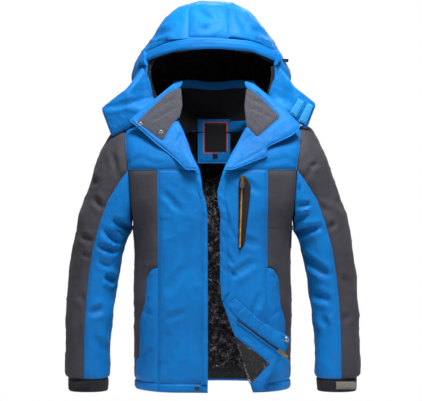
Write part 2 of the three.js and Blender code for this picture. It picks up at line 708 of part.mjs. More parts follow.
// Sleeves: a fixed cap in the shoulder, and the arm that lifts about a round head below it.
const pivotHeight = underarmHeight + sleevePivotRise;
const allSleeveHeights = [cuffHeight - cuffDrop + seamGap, ...sleeveHeights];
const cuffHeights = [-cuffDrop, cuffHeight - cuffDrop];
const colourLine = [
  [armholeX + 8, yokeHeight], [armholeX + 30, yokeHeight - 28], [armholeX + 62, yokeHeight - 78],
  [armholeX + 82, underarmHeight + 16], [armholeX + 101, underarmHeight - 52],
  [armholeX + 111, underarmHeight - 114], [armholeX + 119, underarmHeight - 187],
  [armholeX + 124, underarmHeight - 265], [armholeX + 128, -40],
];
for (const [name, side] of [['right', -1], ['left', 1]]) {
  const pivotX = side * (armholeX + sleevePivotOut);
  const full = sleeve(side, 0, allSleeveHeights);
  const hollow = sleeve(side, -shellWall, [cuffHeight - cuffDrop - 30, ...sleeveHeights]);
  const armhole = prism(armholeOutline(side), -400, 400);
  const tube = full.subtract(hollow).intersect(armhole);
  const headCylinder = (radius) => {
    const geometry = new THREE.CylinderGeometry(radius, radius, 500, 48);
    geometry.translate(pivotX, 0, pivotHeight);
    return toSolid(geometry);
  };
  const capLimit = (sleeveLiftCapAngle * Math.PI) / 180;
  const reach = 400;
  const capOutline = [
    [pivotX, pivotHeight],
    [pivotX + side * Math.cos(Math.PI - capLimit) * reach, pivotHeight + Math.sin(capLimit) * reach],
    [side * (armholeX - 60), pivotHeight + reach],
    [side * (armholeX - 60), pivotHeight],
  ];
  const capRegion = prism(capOutline, -400, 400, 0);
  const cap = tube.intersect(capRegion).subtract(headCylinder(sleeveHeadRadius + hingeGap));
  addPiece(`shoulder_cap_${name}`, cap, 'grey');
  const below = box(-600, 600, -400, 400, -100, pivotHeight);
  const arm = tube.intersect(below.add(headCylinder(sleeveHeadRadius)));
  const outward = [...colourLine, [armholeX + 300, -40], [armholeX + 300, yokeHeight]];
  const inward = [...colourLine, [armholeX - 60, -40], [armholeX - 60, yokeHeight]];
  const outline = (edge) => prism(side > 0 ? edge : mirrored(edge), -400, 400);
  addPiece(`sleeve_outer_${name}`, arm.intersect(outline(outward)), 'grey');
  addPiece(`sleeve_inner_${name}`, arm.intersect(outline(inward)), 'blue');
  const cuff = sleeve(side, 0, cuffHeights).subtract(sleeve(side, -shellWall, [-cuffDrop - 9, cuffHeight]));
  addPiece(`cuff_${name}`, cuff, 'black', 0.85);

  // Hook-and-loop strap across the front of the cuff, sewn on at its inner end.
  const strapLow = cuffHeight - cuffDrop - cuffStrapWidth - 3;
  const cuffMiddle = side * (armholeX + valueAt(sleeveTable, 0, 2) + cuffHalfWidth);
  const strapFront = valueAt(sleeveTable, strapLow, 4) - valueAt(sleeveTable, strapLow + cuffStrapWidth, 3)
    - layerGap - cuffStrapWall;
  const strapEnds = [cuffMiddle - side * cuffStrapInner, cuffMiddle + side * cuffStrapOuter];
  addPiece(`cuff_strap_${name}`, box(
    Math.min(...strapEnds), Math.max(...strapEnds), strapFront, strapFront + cuffStrapWall,
    strapLow, strapLow + cuffStrapWidth,
  ), 'black', 0.85);
}

// A piece drawn with its length along +X and its back on y = 0, turned to lie along a zip.
function alongZip(solid, start, angle, distance, yBack) {
  const radians = (angle * Math.PI) / 180;
  const x = start[0] + Math.cos(radians) * distance;
  const z = start[1] + Math.sin(radians) * distance;
  return solid.rotate([0, -angle, 0]).translate([x, yBack, z]);
}

function slider() {
  const body = box(-sliderLength / 2, sliderLength / 2, -sliderWall, 0, -sliderWidth / 2, sliderWidth / 2);
  const lugFront = -sliderWall - 3;
  const lugBack = -sliderWall + 0.5;
  const lugs = [1, -1].map((side) => box(-2.5, 2.5, lugFront, lugBack, side * 2.6 - 1, side * 2.6 + 1));
  return body.add(lugs[0]).add(lugs[1]);
}

// Tongue of a zip pull, from its pivot between the slider's lugs along +X.
function pull() {
  const front = -sliderWall - layerGap - pullWall;
  const neck = box(-0.8, 7, front, front + pullWall, -1.1, 1.1);
  return neck.add(box(6, pullLength, front, front + pullWall, -pullWidth / 2, pullWidth / 2));
}

// Chest pocket: dark welt with an upright zip, closed, its slider at the top.
const chestWeltOutline = [
  [66, yokeHeight - 30], [78, yokeHeight - 12], [90, yokeHeight - 24], [99, yokeHeight - 42],
  [95, yokeHeight - 84], [82, yokeHeight - 192], [70, yokeHeight - 209], [66, yokeHeight - 200],
];
addPiece('chest_welt', trim.intersect(prism(chestWeltOutline, -400, 0)), 'black', 0.9);
const chestChainTop = [76, yokeHeight - 30];
const chestChainLength = 172;
const chestZipAngle = -92;
const trimProud = 5;
const chestChainBack = torsoFront(66, yokeHeight - 30, trimProud) + 0.4259344159;
const chestChain = box(0, chestChainLength, -chainWall, 0, -chainWidth / 2, chainWidth / 2);
const chestSliderAt = sliderLength / 2 + 2;
const chestSliderBack = chestChainBack - chainWall - layerGap;
const chestZip = alongZip(chestChain, chestChainTop, chestZipAngle, 0, chestChainBack);
addPiece('chest_zip', chestZip, 'gold', 0.4, 0.6);
const chestSlider = alongZip(slider(), chestChainTop, chestZipAngle, chestSliderAt, chestSliderBack);
addPiece('chest_slider', chestSlider, 'steel', 0.3, 0.9);
const chestPull = alongZip(pull(), [0, 0], 180 + chestZipAngle, 0, chestSliderBack);
const chestPivot = alongPoint(chestChainTop, chestZipAngle, chestSliderAt);
addPiece('chest_pull', chestPull.translate([chestPivot[0], 0, chestPivot[1]]), 'gold', 0.4, 0.6);

function alongPoint(start, angle, distance) {
  const radians = (angle * Math.PI) / 180;
  return [start[0] + Math.cos(radians) * distance, start[1] + Math.sin(radians) * distance];
}

// Lower front corner, folded back flat over the front panel.
const flapBack = -chestHalfDepth - 0.2;
const flapFront = flapBack - plateWall;
const mainZipLine = [[34, 225], [68, 186], [123, 143], [182, 101]];
const stormOutline = [
  [58, 248], [123, 188], [165, 163], [201, 144], [191, 116], [182, 101], [123, 143], [68, 186], [34, 225],
];
const flapFacingOutline = [foldTop, ...mainZipLine, [120, 2], [97, 23], [146, 77], foldMiddle];
const flapFurOutline = [foldMiddle, [146, 77], [97, 23]];
addPiece('flap_facing', prism(flapFacingOutline, flapFront, flapBack), 'blue');
addPiece('flap_fur', prism(flapFurOutline, flapFront, flapBack), 'fur', 0.95);
addPiece('storm_flap', prism(stormOutline, flapFront, flapBack), 'blue');
const mainZipStart = [62, 190];
const mainZipAngle = -36;
const mainChainLength = 146;
const mainChainBack = flapFront - layerGap;
const mainSliderBack = mainChainBack - chainWall - layerGap;
const mainSliderAt = mainChainLength - sliderLength / 2 - 1;
const mainChain = box(0, mainChainLength, -chainWall, 0, -chainWidth / 2, chainWidth / 2);
addPiece('main_zip', alongZip(mainChain, mainZipStart, mainZipAngle, 0, mainChainBack), 'black', 0.5);
const mainSlider = alongZip(slider(), mainZipStart, mainZipAngle, mainSliderAt, mainSliderBack);
addPiece('main_slider', mainSlider, 'steel', 0.3, 0.9);
const mainPivot = alongPoint(mainZipStart, mainZipAngle, mainSliderAt);
const mainPull = alongZip(pull(), [0, 0], mainZipAngle, 0, mainSliderBack);
addPiece('main_pull', mainPull.translate([mainPivot[0], 0, mainPivot[1]]), 'gold', 0.4, 0.6);
addPiece('flap_snap', snapCap(190, flapFront - layerGap, 139), 'steel', 0.35, 0.9);

// Cord stop at the hood's left edge.
const cordStopCentre = [194, 12, shoulderHeight + 160];
const cordStopGeometry = new THREE.CylinderGeometry(5, 5, 16, 12);
cordStopGeometry.rotateZ(-1.1);
cordStopGeometry.translate(...cordStopCentre);
addPiece('hood_cord_stop', toSolid(cordStopGeometry), 'black', 0.5);

group.position.copy(bearing).negate();
export default group;
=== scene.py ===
import math

import bmesh
import bpy
import numpy as np
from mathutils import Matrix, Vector
from mathutils.geometry import delaunay_2d_cdt


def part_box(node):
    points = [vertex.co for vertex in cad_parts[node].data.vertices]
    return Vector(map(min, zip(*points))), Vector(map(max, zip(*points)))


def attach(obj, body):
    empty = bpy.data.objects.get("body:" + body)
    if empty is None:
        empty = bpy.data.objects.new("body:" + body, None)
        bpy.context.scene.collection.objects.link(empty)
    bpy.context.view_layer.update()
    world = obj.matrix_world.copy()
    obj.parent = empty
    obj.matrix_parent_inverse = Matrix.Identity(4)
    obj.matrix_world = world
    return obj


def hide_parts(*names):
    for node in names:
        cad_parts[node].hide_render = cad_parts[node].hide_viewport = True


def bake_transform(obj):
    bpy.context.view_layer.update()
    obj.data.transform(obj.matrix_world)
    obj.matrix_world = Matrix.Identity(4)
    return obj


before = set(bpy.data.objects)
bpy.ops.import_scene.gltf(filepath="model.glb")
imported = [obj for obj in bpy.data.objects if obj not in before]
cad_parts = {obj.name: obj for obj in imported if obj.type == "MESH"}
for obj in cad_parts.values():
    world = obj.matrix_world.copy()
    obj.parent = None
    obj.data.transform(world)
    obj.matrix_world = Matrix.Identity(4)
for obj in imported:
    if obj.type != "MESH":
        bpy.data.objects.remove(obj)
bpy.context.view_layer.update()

# Heights and half-widths in millimetres, from the middle of the hem; X to the wearer's left, Y back, Z up.
hemLow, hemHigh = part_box("hem_band")
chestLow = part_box("front_panel_right")[0]
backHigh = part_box("back_panel")[1]
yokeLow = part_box("back_yoke")[0]
mm = 0.001
origin = np.array([(hemLow.x + hemHigh.x) / 2, (chestLow.y + backHigh.y) / 2, hemLow.z])
halfWidth = (hemHigh.x - hemLow.x) / 2 / mm
halfDepth = (backHigh.y - chestLow.y) / 2 / mm
yoke = (yokeLow.z - hemLow.z) / mm
underarm = yoke - 151
shoulder = yoke + 136
armhole = halfWidth + 5


def toFrame(points):
    return np.asarray(points, float) * mm + origin


def linear(code, alpha=1.0):
    values = [int(code[i:i + 2], 16) / 255 for i in (1, 3, 5)]
    return tuple(v / 12.92 if v <= 0.04045 else ((v + 0.055) / 1.055) ** 2.4 for v in values) + (alpha,)


def addNode(tree, kind, links=(), **settings):
    node = tree.nodes.new(kind)
    for key, value in settings.items():
        if hasattr(node, key):
            setattr(node, key, value)
    for socket, value in dict(links).items():
        if isinstance(value, bpy.types.NodeSocket):
            tree.links.new(value, node.inputs[socket])
        else:
            node.inputs[socket].default_value = value
    return node


def startMaterial(name):
    material = bpy.data.materials.new(name)
    material.use_nodes = True
    tree = material.node_tree
    shader = tree.nodes["Principled BSDF"]
    place = addNode(tree, "ShaderNodeTexCoord")
    return material, tree, shader, place.outputs["Object"]


def spread(tree, place, scale, detail=3.0, stretch=(1, 1, 1)):
    mapped = addNode(tree, "ShaderNodeMapping", {"Vector": place, "Scale": stretch})
    noise = addNode(tree, "ShaderNodeTexNoise", {
        "Vector": mapped.outputs[0], "Scale": scale, "Detail": detail, "Roughness": 0.55})
    return noise.outputs["Fac"]


def blendColour(tree, factor, low, high, start=0.35, end=0.65):
    ramp = addNode(tree, "ShaderNodeMapRange", {"Value": factor, "From Min": start, "From Max": end})
    mix = addNode(tree, "ShaderNodeMix", data_type="RGBA")
    tree.links.new(ramp.outputs[0], mix.inputs[0])
    for index, colour in ((6, low), (7, high)):
        if isinstance(colour, bpy.types.NodeSocket):
            tree.links.new(colour, mix.inputs[index])
        else:
            mix.inputs[index].default_value = colour
    return mix.outputs[2]


# Two crossed thread waves, pitch in millimetres.
def weaveHeight(tree, place, pitch):
    waves = []
    for direction in ("X", "Z"):
        wave = addNode(tree, "ShaderNodeTexWave", {
            "Vector": place, "Scale": math.pi / 10 / (pitch * mm), "Distortion": 0.4, "Detail": 1.0},
            bands_direction=direction)
        waves.append(wave.outputs["Fac"])
    return addNode(tree, "ShaderNodeMath", {0: waves[0], 1: waves[1]}, operation="MULTIPLY").outputs[0]


def coatedCloth(name, deep, light, roughness, sheen, weave, puckers):
    material, tree, shader, place = startMaterial(name)
    tone = blendColour(tree, spread(tree, place, 7, 4), linear(deep), linear(light), 0.3, 0.7)
    tree.links.new(tone, shader.inputs["Base Color"])
    shader.inputs["Roughness"].default_value = roughness
    shader.inputs["Sheen Weight"].default_value = sheen
    shader.inputs["Sheen Roughness"].default_value = 0.45
    shader.inputs["IOR"].default_value = 1.47
    shader.inputs["Specular IOR Level"].default_value = 0.18
    coarse = addNode(tree, "ShaderNodeBump", {
        "Height": spread(tree, place, 62, 3), "Strength": puckers, "Distance": 0.0022})
    fine = addNode(tree, "ShaderNodeBump", {
        "Height": weaveHeight(tree, place, weave), "Strength": 0.22, "Distance": 0.0004,
        "Normal": coarse.outputs[0]})
    tree.links.new(fine.outputs[0], shader.inputs["Normal"])
    return material


blueShell = coatedCloth("coated_blue_twill", "#005FA4", "#0070BA", 0.6, 0.03, 1.5, 0.5)
charcoalShell = coatedCloth("charcoal_twill", "#333238", "#3F3E45", 0.74, 0.05, 1.6, 0.55)
blackTwill = coatedCloth("black_polyester_twill", "#18181C", "#232328", 0.8, 0.05, 1.4, 0.5)
labelCloth = coatedCloth("woven_label_satin", "#15151A", "#1E1D22", 0.5, 0.1, 0.9, 0.1)
labelEdge = coatedCloth("label_edge_thread", "#B93B2C", "#D4553F", 0.7, 0.1, 0.9, 0.1)
blueThread = coatedCloth("blue_polyester_thread", "#0C4F98", "#1260B2", 0.55, 0.2, 1.2, 0.1)
greyThread = coatedCloth("grey_polyester_thread", "#26262A", "#34343A", 0.6, 0.2, 1.2, 0.1)
strapTip = coatedCloth("grey_hook_tape", "#67655E", "#77756C", 0.85, 0.2, 1.3, 0.6)


def brushedJersey(name, deep, light):
    material, tree, shader, place = startMaterial(name)
    fleck = blendColour(tree, spread(tree, place, 520, 2), linear(deep), linear(light), 0.38, 0.64)
    tree.links.new(fleck, shader.inputs["Base Color"])
    shader.inputs["Roughness"].default_value = 0.9
    shader.inputs["Sheen Weight"].default_value = 0.25
    bump = addNode(tree, "ShaderNodeBump", {
        "Height": spread(tree, place, 800, 2), "Strength": 0.5, "Distance": 0.0008})
    tree.links.new(bump.outputs[0], shader.inputs["Normal"])
    return material


heather = brushedJersey("heather_brushed_jersey", "#202127", "#43444F")
hookTape = brushedJersey("blue_hook_tape", "#1683CC", "#2C9DE2")


def pileFleece(name, root, tip, fleckStart, grain):
    material, tree, shader, place = startMaterial(name)
    fleck = blendColour(tree, spread(tree, place, grain, 3), linear(root), linear(tip), fleckStart, 0.78)
    tree.links.new(fleck, shader.inputs["Base Color"])
    shader.inputs["Roughness"].default_value = 0.95
    shader.inputs["Sheen Weight"].default_value = 0.1
    bump = addNode(tree, "ShaderNodeBump", {
        "Height": spread(tree, place, 260, 4), "Strength": 0.9, "Distance": 0.004})
    tree.links.new(bump.outputs[0], shader.inputs["Normal"])
    return material


fleeceBase = pileFleece("black_pile_fleece", "#0B0A0E", "#3A363F", 0.5, 190)
fleeceTip = pileFleece("grey_tipped_pile", "#1B181F", "#C9C1CF", 0.47, 75)


def castMetal(name, colour, roughness):
    material, tree, shader, place = startMaterial(name)
    tone = blendColour(tree, spread(tree, place, 300, 3), linear(colour[0]), linear(colour[1]))
    tree.links.new(tone, shader.inputs["Base Color"])
    shader.inputs["Metallic"].default_value = 1.0
    rough = addNode(tree, "ShaderNodeMapRange", {
        "Value": spread(tree, place, 700, 2), "To Min": roughness - 0.08, "To Max": roughness + 0.1})
    tree.links.new(rough.outputs[0], shader.inputs["Roughness"])
    return material


steel = castMetal("plated_zinc_casting", ("#8C8E94", "#B4B6BC"), 0.32)
goldMetal = castMetal("gold_plated_zinc", ("#C98A26", "#E6AC48"), 0.3)


def mouldedPlastic(name, deep, light, roughness):
    material, tree, shader, place = startMaterial(name)
    tone = blendColour(tree, spread(tree, place, 90, 3), linear(deep), linear(light))
    tree.links.new(tone, shader.inputs["Base Color"])
    shader.inputs["Roughness"].default_value = roughness
    bump = addNode(tree, "ShaderNodeBump", {
        "Height": spread(tree, place, 900, 2), "Strength": 0.2, "Distance": 0.0004})
    tree.links.new(bump.outputs[0], shader.inputs["Normal"])
    return material


blackPlastic = mouldedPlastic("black_acetal", "#0E0E10", "#1A1A1D", 0.38)
goldTape = mouldedPlastic("gold_coil_zip", "#B77E24", "#DDA13A", 0.5)
print("materials made")


def hashGrid(ix, iy, iz, seed):
    n = ix * 374761393 + iy * 668265263 + iz * 1442695041 + seed * 2654435761
    n = (n ^ (n >> 13)) * 1274126177
    return ((n ^ (n >> 16)) & 0xFFFFFF) / float(0xFFFFFF) * 2 - 1


def smoothNoise(points, scale, seed, stretch=(1, 1, 1)):
    q = np.asarray(points, float) / (scale * np.array(stretch, float)) + 1000.0
    cell = np.floor(q).astype(np.int64)
    part = q - cell
    part = part * part * part * (part * (part * 6 - 15) + 10)
    total = 0
    for dx in (0, 1):
        for dy in (0, 1):
            for dz in (0, 1):
                weight = np.abs(1 - dx - part[..., 0]) * np.abs(1 - dy - part[..., 1])
                weight = weight * np.abs(1 - dz - part[..., 2])
                total = total + weight * hashGrid(cell[..., 0] + dx, cell[..., 1] + dy, cell[..., 2] + dz,
                                                  seed)
    return total


def smoothStep(value, low, high):
    t = np.clip((value - low) / (high - low), 0, 1)
    return t * t * (3 - 2 * t)


# A fold runs from a to b in the front view: a groove with a raised bank on each side.
def foldField(x, z, folds):
    total = np.zeros_like(x)
    for (ax, az), (bx, bz), width, depth in folds:
        dx, dz = bx - ax, bz - az
        length = math.hypot(dx, dz)
        t = ((x - ax) * dx + (z - az) * dz) / length ** 2
        away = np.abs((x - ax) * dz - (z - az) * dx) / length / width
        bow = 0.35 * np.sin(np.clip(t, 0, 1) * math.pi)
        groove = -np.exp(-(away - bow) ** 2) + 0.6 * np.exp(-((away - 1.9) ** 2))
        total += depth * groove * smoothStep(t, -0.12, 0.22) * (1 - smoothStep(t, 0.78, 1.12))
    return total


def columnAt(table, heights, column):
    z = np.array([row[0] for row in table], float)
    v = np.array([row[column] for row in table], float)
    before, after = np.r_[0, np.arange(len(z) - 1)], np.r_[np.arange(1, len(z)), len(z) - 1]
    slope = (v[after] - v[before]) / (z[after] - z[before])
    h = np.clip(np.asarray(heights, float), z[0], z[-1])
    i = np.clip(np.searchsorted(z, h) - 1, 0, len(z) - 2)
    span = z[i + 1] - z[i]
    t = (h - z[i]) / span
    keep, goOn = (1 + 2 * t) * (1 - t) ** 2, t * t * (3 - 2 * t)
    return (keep * v[i] + goOn * v[i + 1] + t * (1 - t) ** 2 * slope[i] * span
            + t * t * (t - 1) * slope[i + 1] * span)


def makeObject(name, vertices, faces, material, smooth=True):
    mesh = bpy.data.meshes.new(name)
    mesh.from_pydata([tuple(v) for v in toFrame(vertices)], [], [tuple(map(int, f)) for f in faces])
    mesh.materials.append(material)
    if smooth:
        mesh.shade_smooth()
        mesh.set_sharp_from_angle(angle=math.radians(62))
    obj = bpy.data.objects.new(name, mesh)
    bpy.context.scene.collection.objects.link(obj)
    return obj


def unit(vectors):
    return vectors / np.maximum(np.linalg.norm(vectors, axis=-1, keepdims=True), 1e-9)


def gridNormals(points, flip=False):
    du = np.gradient(points, axis=1)
    dv = np.gradient(points, axis=0)
    return unit(np.cross(du, dv) * (-1 if flip else 1))


def edgeDistance(points, sides):
    columnStep = np.linalg.norm(np.diff(points, axis=1), axis=2)
    rowStep = np.linalg.norm(np.diff(points, axis=0), axis=2)
    along = np.concatenate([np.zeros((points.shape[0], 1)), np.cumsum(columnStep, axis=1)], axis=1)
    up = np.concatenate([np.zeros((1, points.shape[1])), np.cumsum(rowStep, axis=0)], axis=0)
    distance = np.full(points.shape[:2], 1e3)
    if "left" in sides:
        distance = np.minimum(distance, along)
    if "right" in sides:
        distance = np.minimum(distance, along[:, -1:] - along)
    if "low" in sides:
        distance = np.minimum(distance, up)
    if "high" in sides:
        distance = np.minimum(distance, up[-1:, :] - up)
    return distance


# Sewn edge: the cloth dips into the seam, is flattened by a row of stitches, then puffs out.
def seamShape(distance, puff, width):
    stitched = 0.3 * puff * np.exp(-((distance - 9) / 2.2) ** 2)
    return puff * (1 - np.exp(-distance / width)) - puff - stitched - 1.6 * np.exp(-(distance / 2.2) ** 2)


def sewnGrid(name, points, wall, material, puff=3.6, width=6, sides=("left", "right", "low", "high"),
             field=None, flip=False, closed=False):
    rows, columns = points.shape[:2]
    normals = gridNormals(points, flip)
    distance = edgeDistance(points, sides)
    height = seamShape(distance, puff, width)
    if field is not None:
        height = height + field(points, normals, distance)
    outer = points + normals * height[..., None]
    thick = wall * (0.35 + 0.65 * (1 - np.exp(-distance / 5)))
    inner = points - normals * (thick + puff * 0.5)[..., None]
    vertices = np.concatenate([outer.reshape(-1, 3), inner.reshape(-1, 3)])
    count = rows * columns
    faces = []
    wrap = columns if closed else columns - 1
    for r in range(rows - 1):
        for c in range(wrap):
            n = (c + 1) % columns
            quad = (r * columns + c, r * columns + n, (r + 1) * columns + n, (r + 1) * columns + c)
            faces.append(quad if not flip else quad[::-1])
            back = tuple(i + count for i in quad)
            faces.append(back[::-1] if not flip else back)
    rim = []
    for c in range(wrap):
        n = (c + 1) % columns
        rim.append((c, n))
        rim.append(((rows - 1) * columns + n, (rows - 1) * columns + c))
    if not closed:
        for r in range(rows - 1):
            rim.append(((r + 1) * columns, r * columns))
            rim.append((r * columns + columns - 1, (r + 1) * columns + columns - 1))
    for a, b in rim:
        faces.append((b, a, a + count, b + count) if not flip else (a, b, b + count, a + count))
    obj = makeObject(name, vertices, faces, material)
    return obj, outer, normals


def densify(outline, step):
    points = []
    for i, a in enumerate(outline):
        b = outline[(i + 1) % len(outline)]
        pieces = max(1, int(math.ceil(math.dist(a, b) / step)))
        for k in range(pieces):
            t = k / pieces
            points.append((a[0] + (b[0] - a[0]) * t, a[1] + (b[1] - a[1]) * t))
    return points


# Corners turned on a small radius, as cloth corners are.
def softened(outline, radius=6.0):
    soft = []
    for i, p in enumerate(outline):
        a, b = outline[i - 1], outline[(i + 1) % len(outline)]
        ends = []
        for q in (a, b):
            reach = min(radius, 0.45 * math.dist(p, q)) / math.dist(p, q)
            ends.append((p[0] + (q[0] - p[0]) * reach, p[1] + (q[1] - p[1]) * reach))
        for t in (0, 0.33, 0.67, 1):
            soft.append(tuple(ends[0][k] * (1 - t) ** 2 + 2 * p[k] * t * (1 - t) + ends[1][k] * t * t
                              for k in (0, 1)))
    return soft


def outlineDistance(x, z, outline):
    best = np.full(x.shape, 1e9)
    for i, a in enumerate(outline):
        b = outline[(i + 1) % len(outline)]
        dx, dz = b[0] - a[0], b[1] - a[1]
        size = dx * dx + dz * dz
        if size < 1e-9:
            continue
        t = np.clip(((x - a[0]) * dx + (z - a[1]) * dz) / size, 0, 1)
        best = np.minimum(best, np.hypot(x - a[0] - t * dx, z - a[1] - t * dz))
    return best


# A panel drawn in the front view, laid on a surface y = depth(x, z), filled like a pillow.
def sewnPanel(name, outline, depth, wall, material, puff=3.6, width=6, step=6.0, field=None,
              back=0.5, facing=-1):
    border = densify(outline, step)
    xs = [p[0] for p in border]
    zs = [p[1] for p in border]
    inside = []
    shiftRow = 0
    z = min(zs) + step * 0.5
    edge = np.array(border)
    candidates = []
    while z < max(zs):
        x = min(xs) + step * (0.5 if shiftRow % 2 else 0.0)
        while x < max(xs):
            candidates.append((x, z))
            x += step
        z += step * 0.87
        shiftRow += 1
    grid = np.array(candidates)
    keep = pointsInside(grid[:, 0], grid[:, 1], outline)
    grid = grid[keep]
    if len(grid):
        grid = grid[outlineDistance(grid[:, 0], grid[:, 1], outline) > step * 0.55]
    flat = [Vector(p) for p in border] + [Vector(p) for p in grid]
    loop = [(i, (i + 1) % len(border)) for i in range(len(border))]
    result = delaunay_2d_cdt(flat, loop, [], 1, 1e-5)
    verts2d = np.array([tuple(v) for v in result[0]])
    triangles = [t for t in result[2]]
    x, z = verts2d[:, 0], verts2d[:, 1]
    distance = outlineDistance(x, z, outline)
    y = depth(x, z)
    e = 1.0
    slopeX = (depth(x + e, z) - depth(x - e, z)) / (2 * e)
    slopeZ = (depth(x, z + e) - depth(x, z - e)) / (2 * e)
    slopeX = np.clip(slopeX, -2.5, 2.5)
    slopeZ = np.clip(slopeZ, -2.5, 2.5)
    normals = unit(np.stack([slopeX, -np.ones_like(x), slopeZ], axis=1)) * (1 if facing < 0 else -1)
    points = np.stack([x, y, z], axis=1)
    height = seamShape(distance, puff, width)
    if field is not None:
        height = height + field(points, normals, distance)
    thick = wall * (0.3 + 0.7 * (1 - np.exp(-distance / 5))) + puff * back
    outer = points + normals * height[:, None]
    inner = points - normals * thick[:, None]
    count = len(x)
    faces = []
    for t in triangles:
        area = ((x[t[1]] - x[t[0]]) * (z[t[2]] - z[t[0]]) - (x[t[2]] - x[t[0]]) * (z[t[1]] - z[t[0]]))
        t = tuple(t) if (area > 0) == (facing < 0) else tuple(t[::-1])
        faces.append(t)
        faces.append(tuple(i + count for i in t[::-1]))
    uses = {}
    for f in faces[::2]:
        for i in range(len(f)):
            uses[(f[i], f[(i + 1) % len(f)])] = True
    for a, b in list(uses):
        if (b, a) not in uses:
            faces.append((b, a, a + count, b + count))
    return makeObject(name, np.concatenate([outer, inner]), faces, material)


def pointsInside(x, z, outline):
    inside = np.zeros(x.shape, bool)
    for i, a in enumerate(outline):
        b = outline[(i + 1) % len(outline)]
        crosses = (a[1] > z) != (b[1] > z)
        with np.errstate(divide="ignore", invalid="ignore"):
            cut = (b[0] - a[0]) * (z - a[1]) / (b[1] - a[1]) + a[0]
        inside ^= crosses & (x < cut)
    return inside


def facesOutward(obj):
    built = bmesh.new()
    built.from_mesh(obj.data)
    bmesh.ops.recalc_face_normals(built, faces=built.faces)
    built.to_mesh(obj.data)
    built.free()


def finish(obj, body=None, nodes=(), bend=None):
    if nodes:
        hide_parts(*nodes)
    if bend:
        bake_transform(obj)
    elif body:
        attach(obj, body)
    return obj


# Shades a fold's groove and small crumples into a panel's height; calm near its seams.
def crumple(seed, amount=2.2, scale=46, folds=(), stretch=(1, 1, 1), pucker=0.8, frontOnly=True,
            foldGain=1.6):
    def field(points, normals, distance):
        calm = 1 - np.exp(-distance / 15)
        broad = smoothNoise(points, scale, seed, stretch)
        ridge = 1 - np.abs(smoothNoise(points, scale * 0.7, seed + 5, stretch)) * 2.4
        fine = 1 - np.abs(smoothNoise(points, scale * 0.33, seed + 7, stretch)) * 2.4
        height = amount * (0.9 * broad + 0.85 * np.clip(ridge, 0, 1) ** 2 + 0.3 * np.clip(fine, 0,
                1) ** 2) * calm
        ripple = smoothNoise(points, 10, seed + 9, (1, 1, 1.3))
        height = height + pucker * ripple * np.exp(-((distance - 13) / 11) ** 2)
        if folds:
            facing = smoothStep(-normals[..., 1], 0.05, 0.5) if frontOnly else 1.0
            height = height + foldGain * foldField(points[..., 0], points[...,
                    2], folds) * facing * (0.3 + 0.7 * calm)
        return height
    return field


torsoShape = {
    "table": [
        [0, halfWidth, halfDepth - 2, 2.4], [underarm * 0.45, halfWidth + 1, halfDepth, 2.4],
        [underarm - 35, halfWidth, halfDepth, 2.4], [underarm + 15, halfWidth + 10, halfDepth, 2.4],
        [underarm + 75, halfWidth + 50, halfDepth, 2.4], [yoke, halfWidth + 62, halfDepth - 2, 2.4],
        [yoke + 45, halfWidth + 64, halfDepth - 10, 2.4],
        [shoulder - 62, halfWidth + 62, halfDepth - 26, 2.3],
        [shoulder - 36, halfWidth + 54, halfDepth - 50, 2.2],
        [shoulder - 16, halfWidth + 42, halfDepth - 80, 2.1],
        [shoulder - 4, halfWidth + 32, halfDepth - 112, 2], [shoulder + 1, halfWidth + 30, 4, 2],
    ],
    "armhole": [(underarm, 0), (underarm + 75, 3), (yoke, 8), (yoke + 64, 17), (shoulder + 12, 24)],
    "fold": 144, "backSeam": 160, "hem": 22, "step": 6.0, "puff": 3.2, "drape": 4.5,
}
wall = 6.0


def armholeAt(z):
    rows = torsoShape["armhole"]
    return armhole + np.interp(z, [r[0] for r in rows], [r[1] for r in rows])


def sectionAt(z, offset=0.0):
    table = torsoShape["table"]
    return columnAt(table, z, 1) + offset, columnAt(table, z, 2) + offset, columnAt(table, z, 3)


# Hanging cloth waves in and out towards the hem.
def drape(x, z):
    low = 1 - smoothStep(z, 60, 470)
    wave = np.sin(x / 23.0 + 0.9) * 0.6 + np.sin(x / 41.0 - 1.4 + z / 160.0) * 0.7
    return torsoShape["drape"] * wave * low


def torsoAt(phi, z, offset=0.0):
    a, b, n = sectionAt(z, offset)
    s, c = np.sin(phi), np.cos(phi)
    x = a * np.sign(s) * np.abs(s) ** (2 / n)
    y = -b * np.sign(c) * np.abs(c) ** (2 / n)
    y = y - drape(x, z) * np.sign(c) * smoothStep(np.abs(c), 0.1, 0.5)
    return np.stack([x, y, np.broadcast_to(z, x.shape)], axis=-1)


def angleAt(x, z, back=False):
    a, b, n = sectionAt(z)
    phi = np.arcsin(np.clip(np.abs(x) / a, 0, 1) ** (n / 2)) * np.sign(x)
    return (np.pi - np.abs(phi)) * np.where(np.sign(x) == 0, 1, np.sign(x)) if back else phi


def torsoSkin(offset=0.0, back=False):
    def depth(x, z):
        a, b, n = sectionAt(z, offset)
        y = -b * np.clip(1 - (np.abs(x) / a) ** n, 0, 1) ** (1 / n)
        return -y + drape(x, z) if back else y - drape(x, z)
    return depth


def rowsOf(low, high, step):
    return np.linspace(low, high, max(3, int(round((high - low) / step)) + 1))


def spanGrid(rows, start, stop, count, place):
    u = np.linspace(0, 1, count)
    grid = []
    for z in rows:
        a, b = start(z), stop(z)
        grid.append(place(a + (b - a) * u, np.full(count, z)))
    return np.array(grid)


def joined(first, *others):
    meshes = [first, *others]
    built = bmesh.new()
    for obj in meshes:
        built.from_mesh(obj.data)
    built.to_mesh(first.data)
    built.free()
    for obj in others:
        data = obj.data
        bpy.data.objects.remove(obj)
        bpy.data.meshes.remove(data)
    first.data.shade_smooth()
    first.data.set_sharp_from_angle(angle=math.radians(62))
    return first


def polyline(rows):
    return lambda z: float(np.interp(z, [r[0] for r in rows], [r[1] for r in rows]))


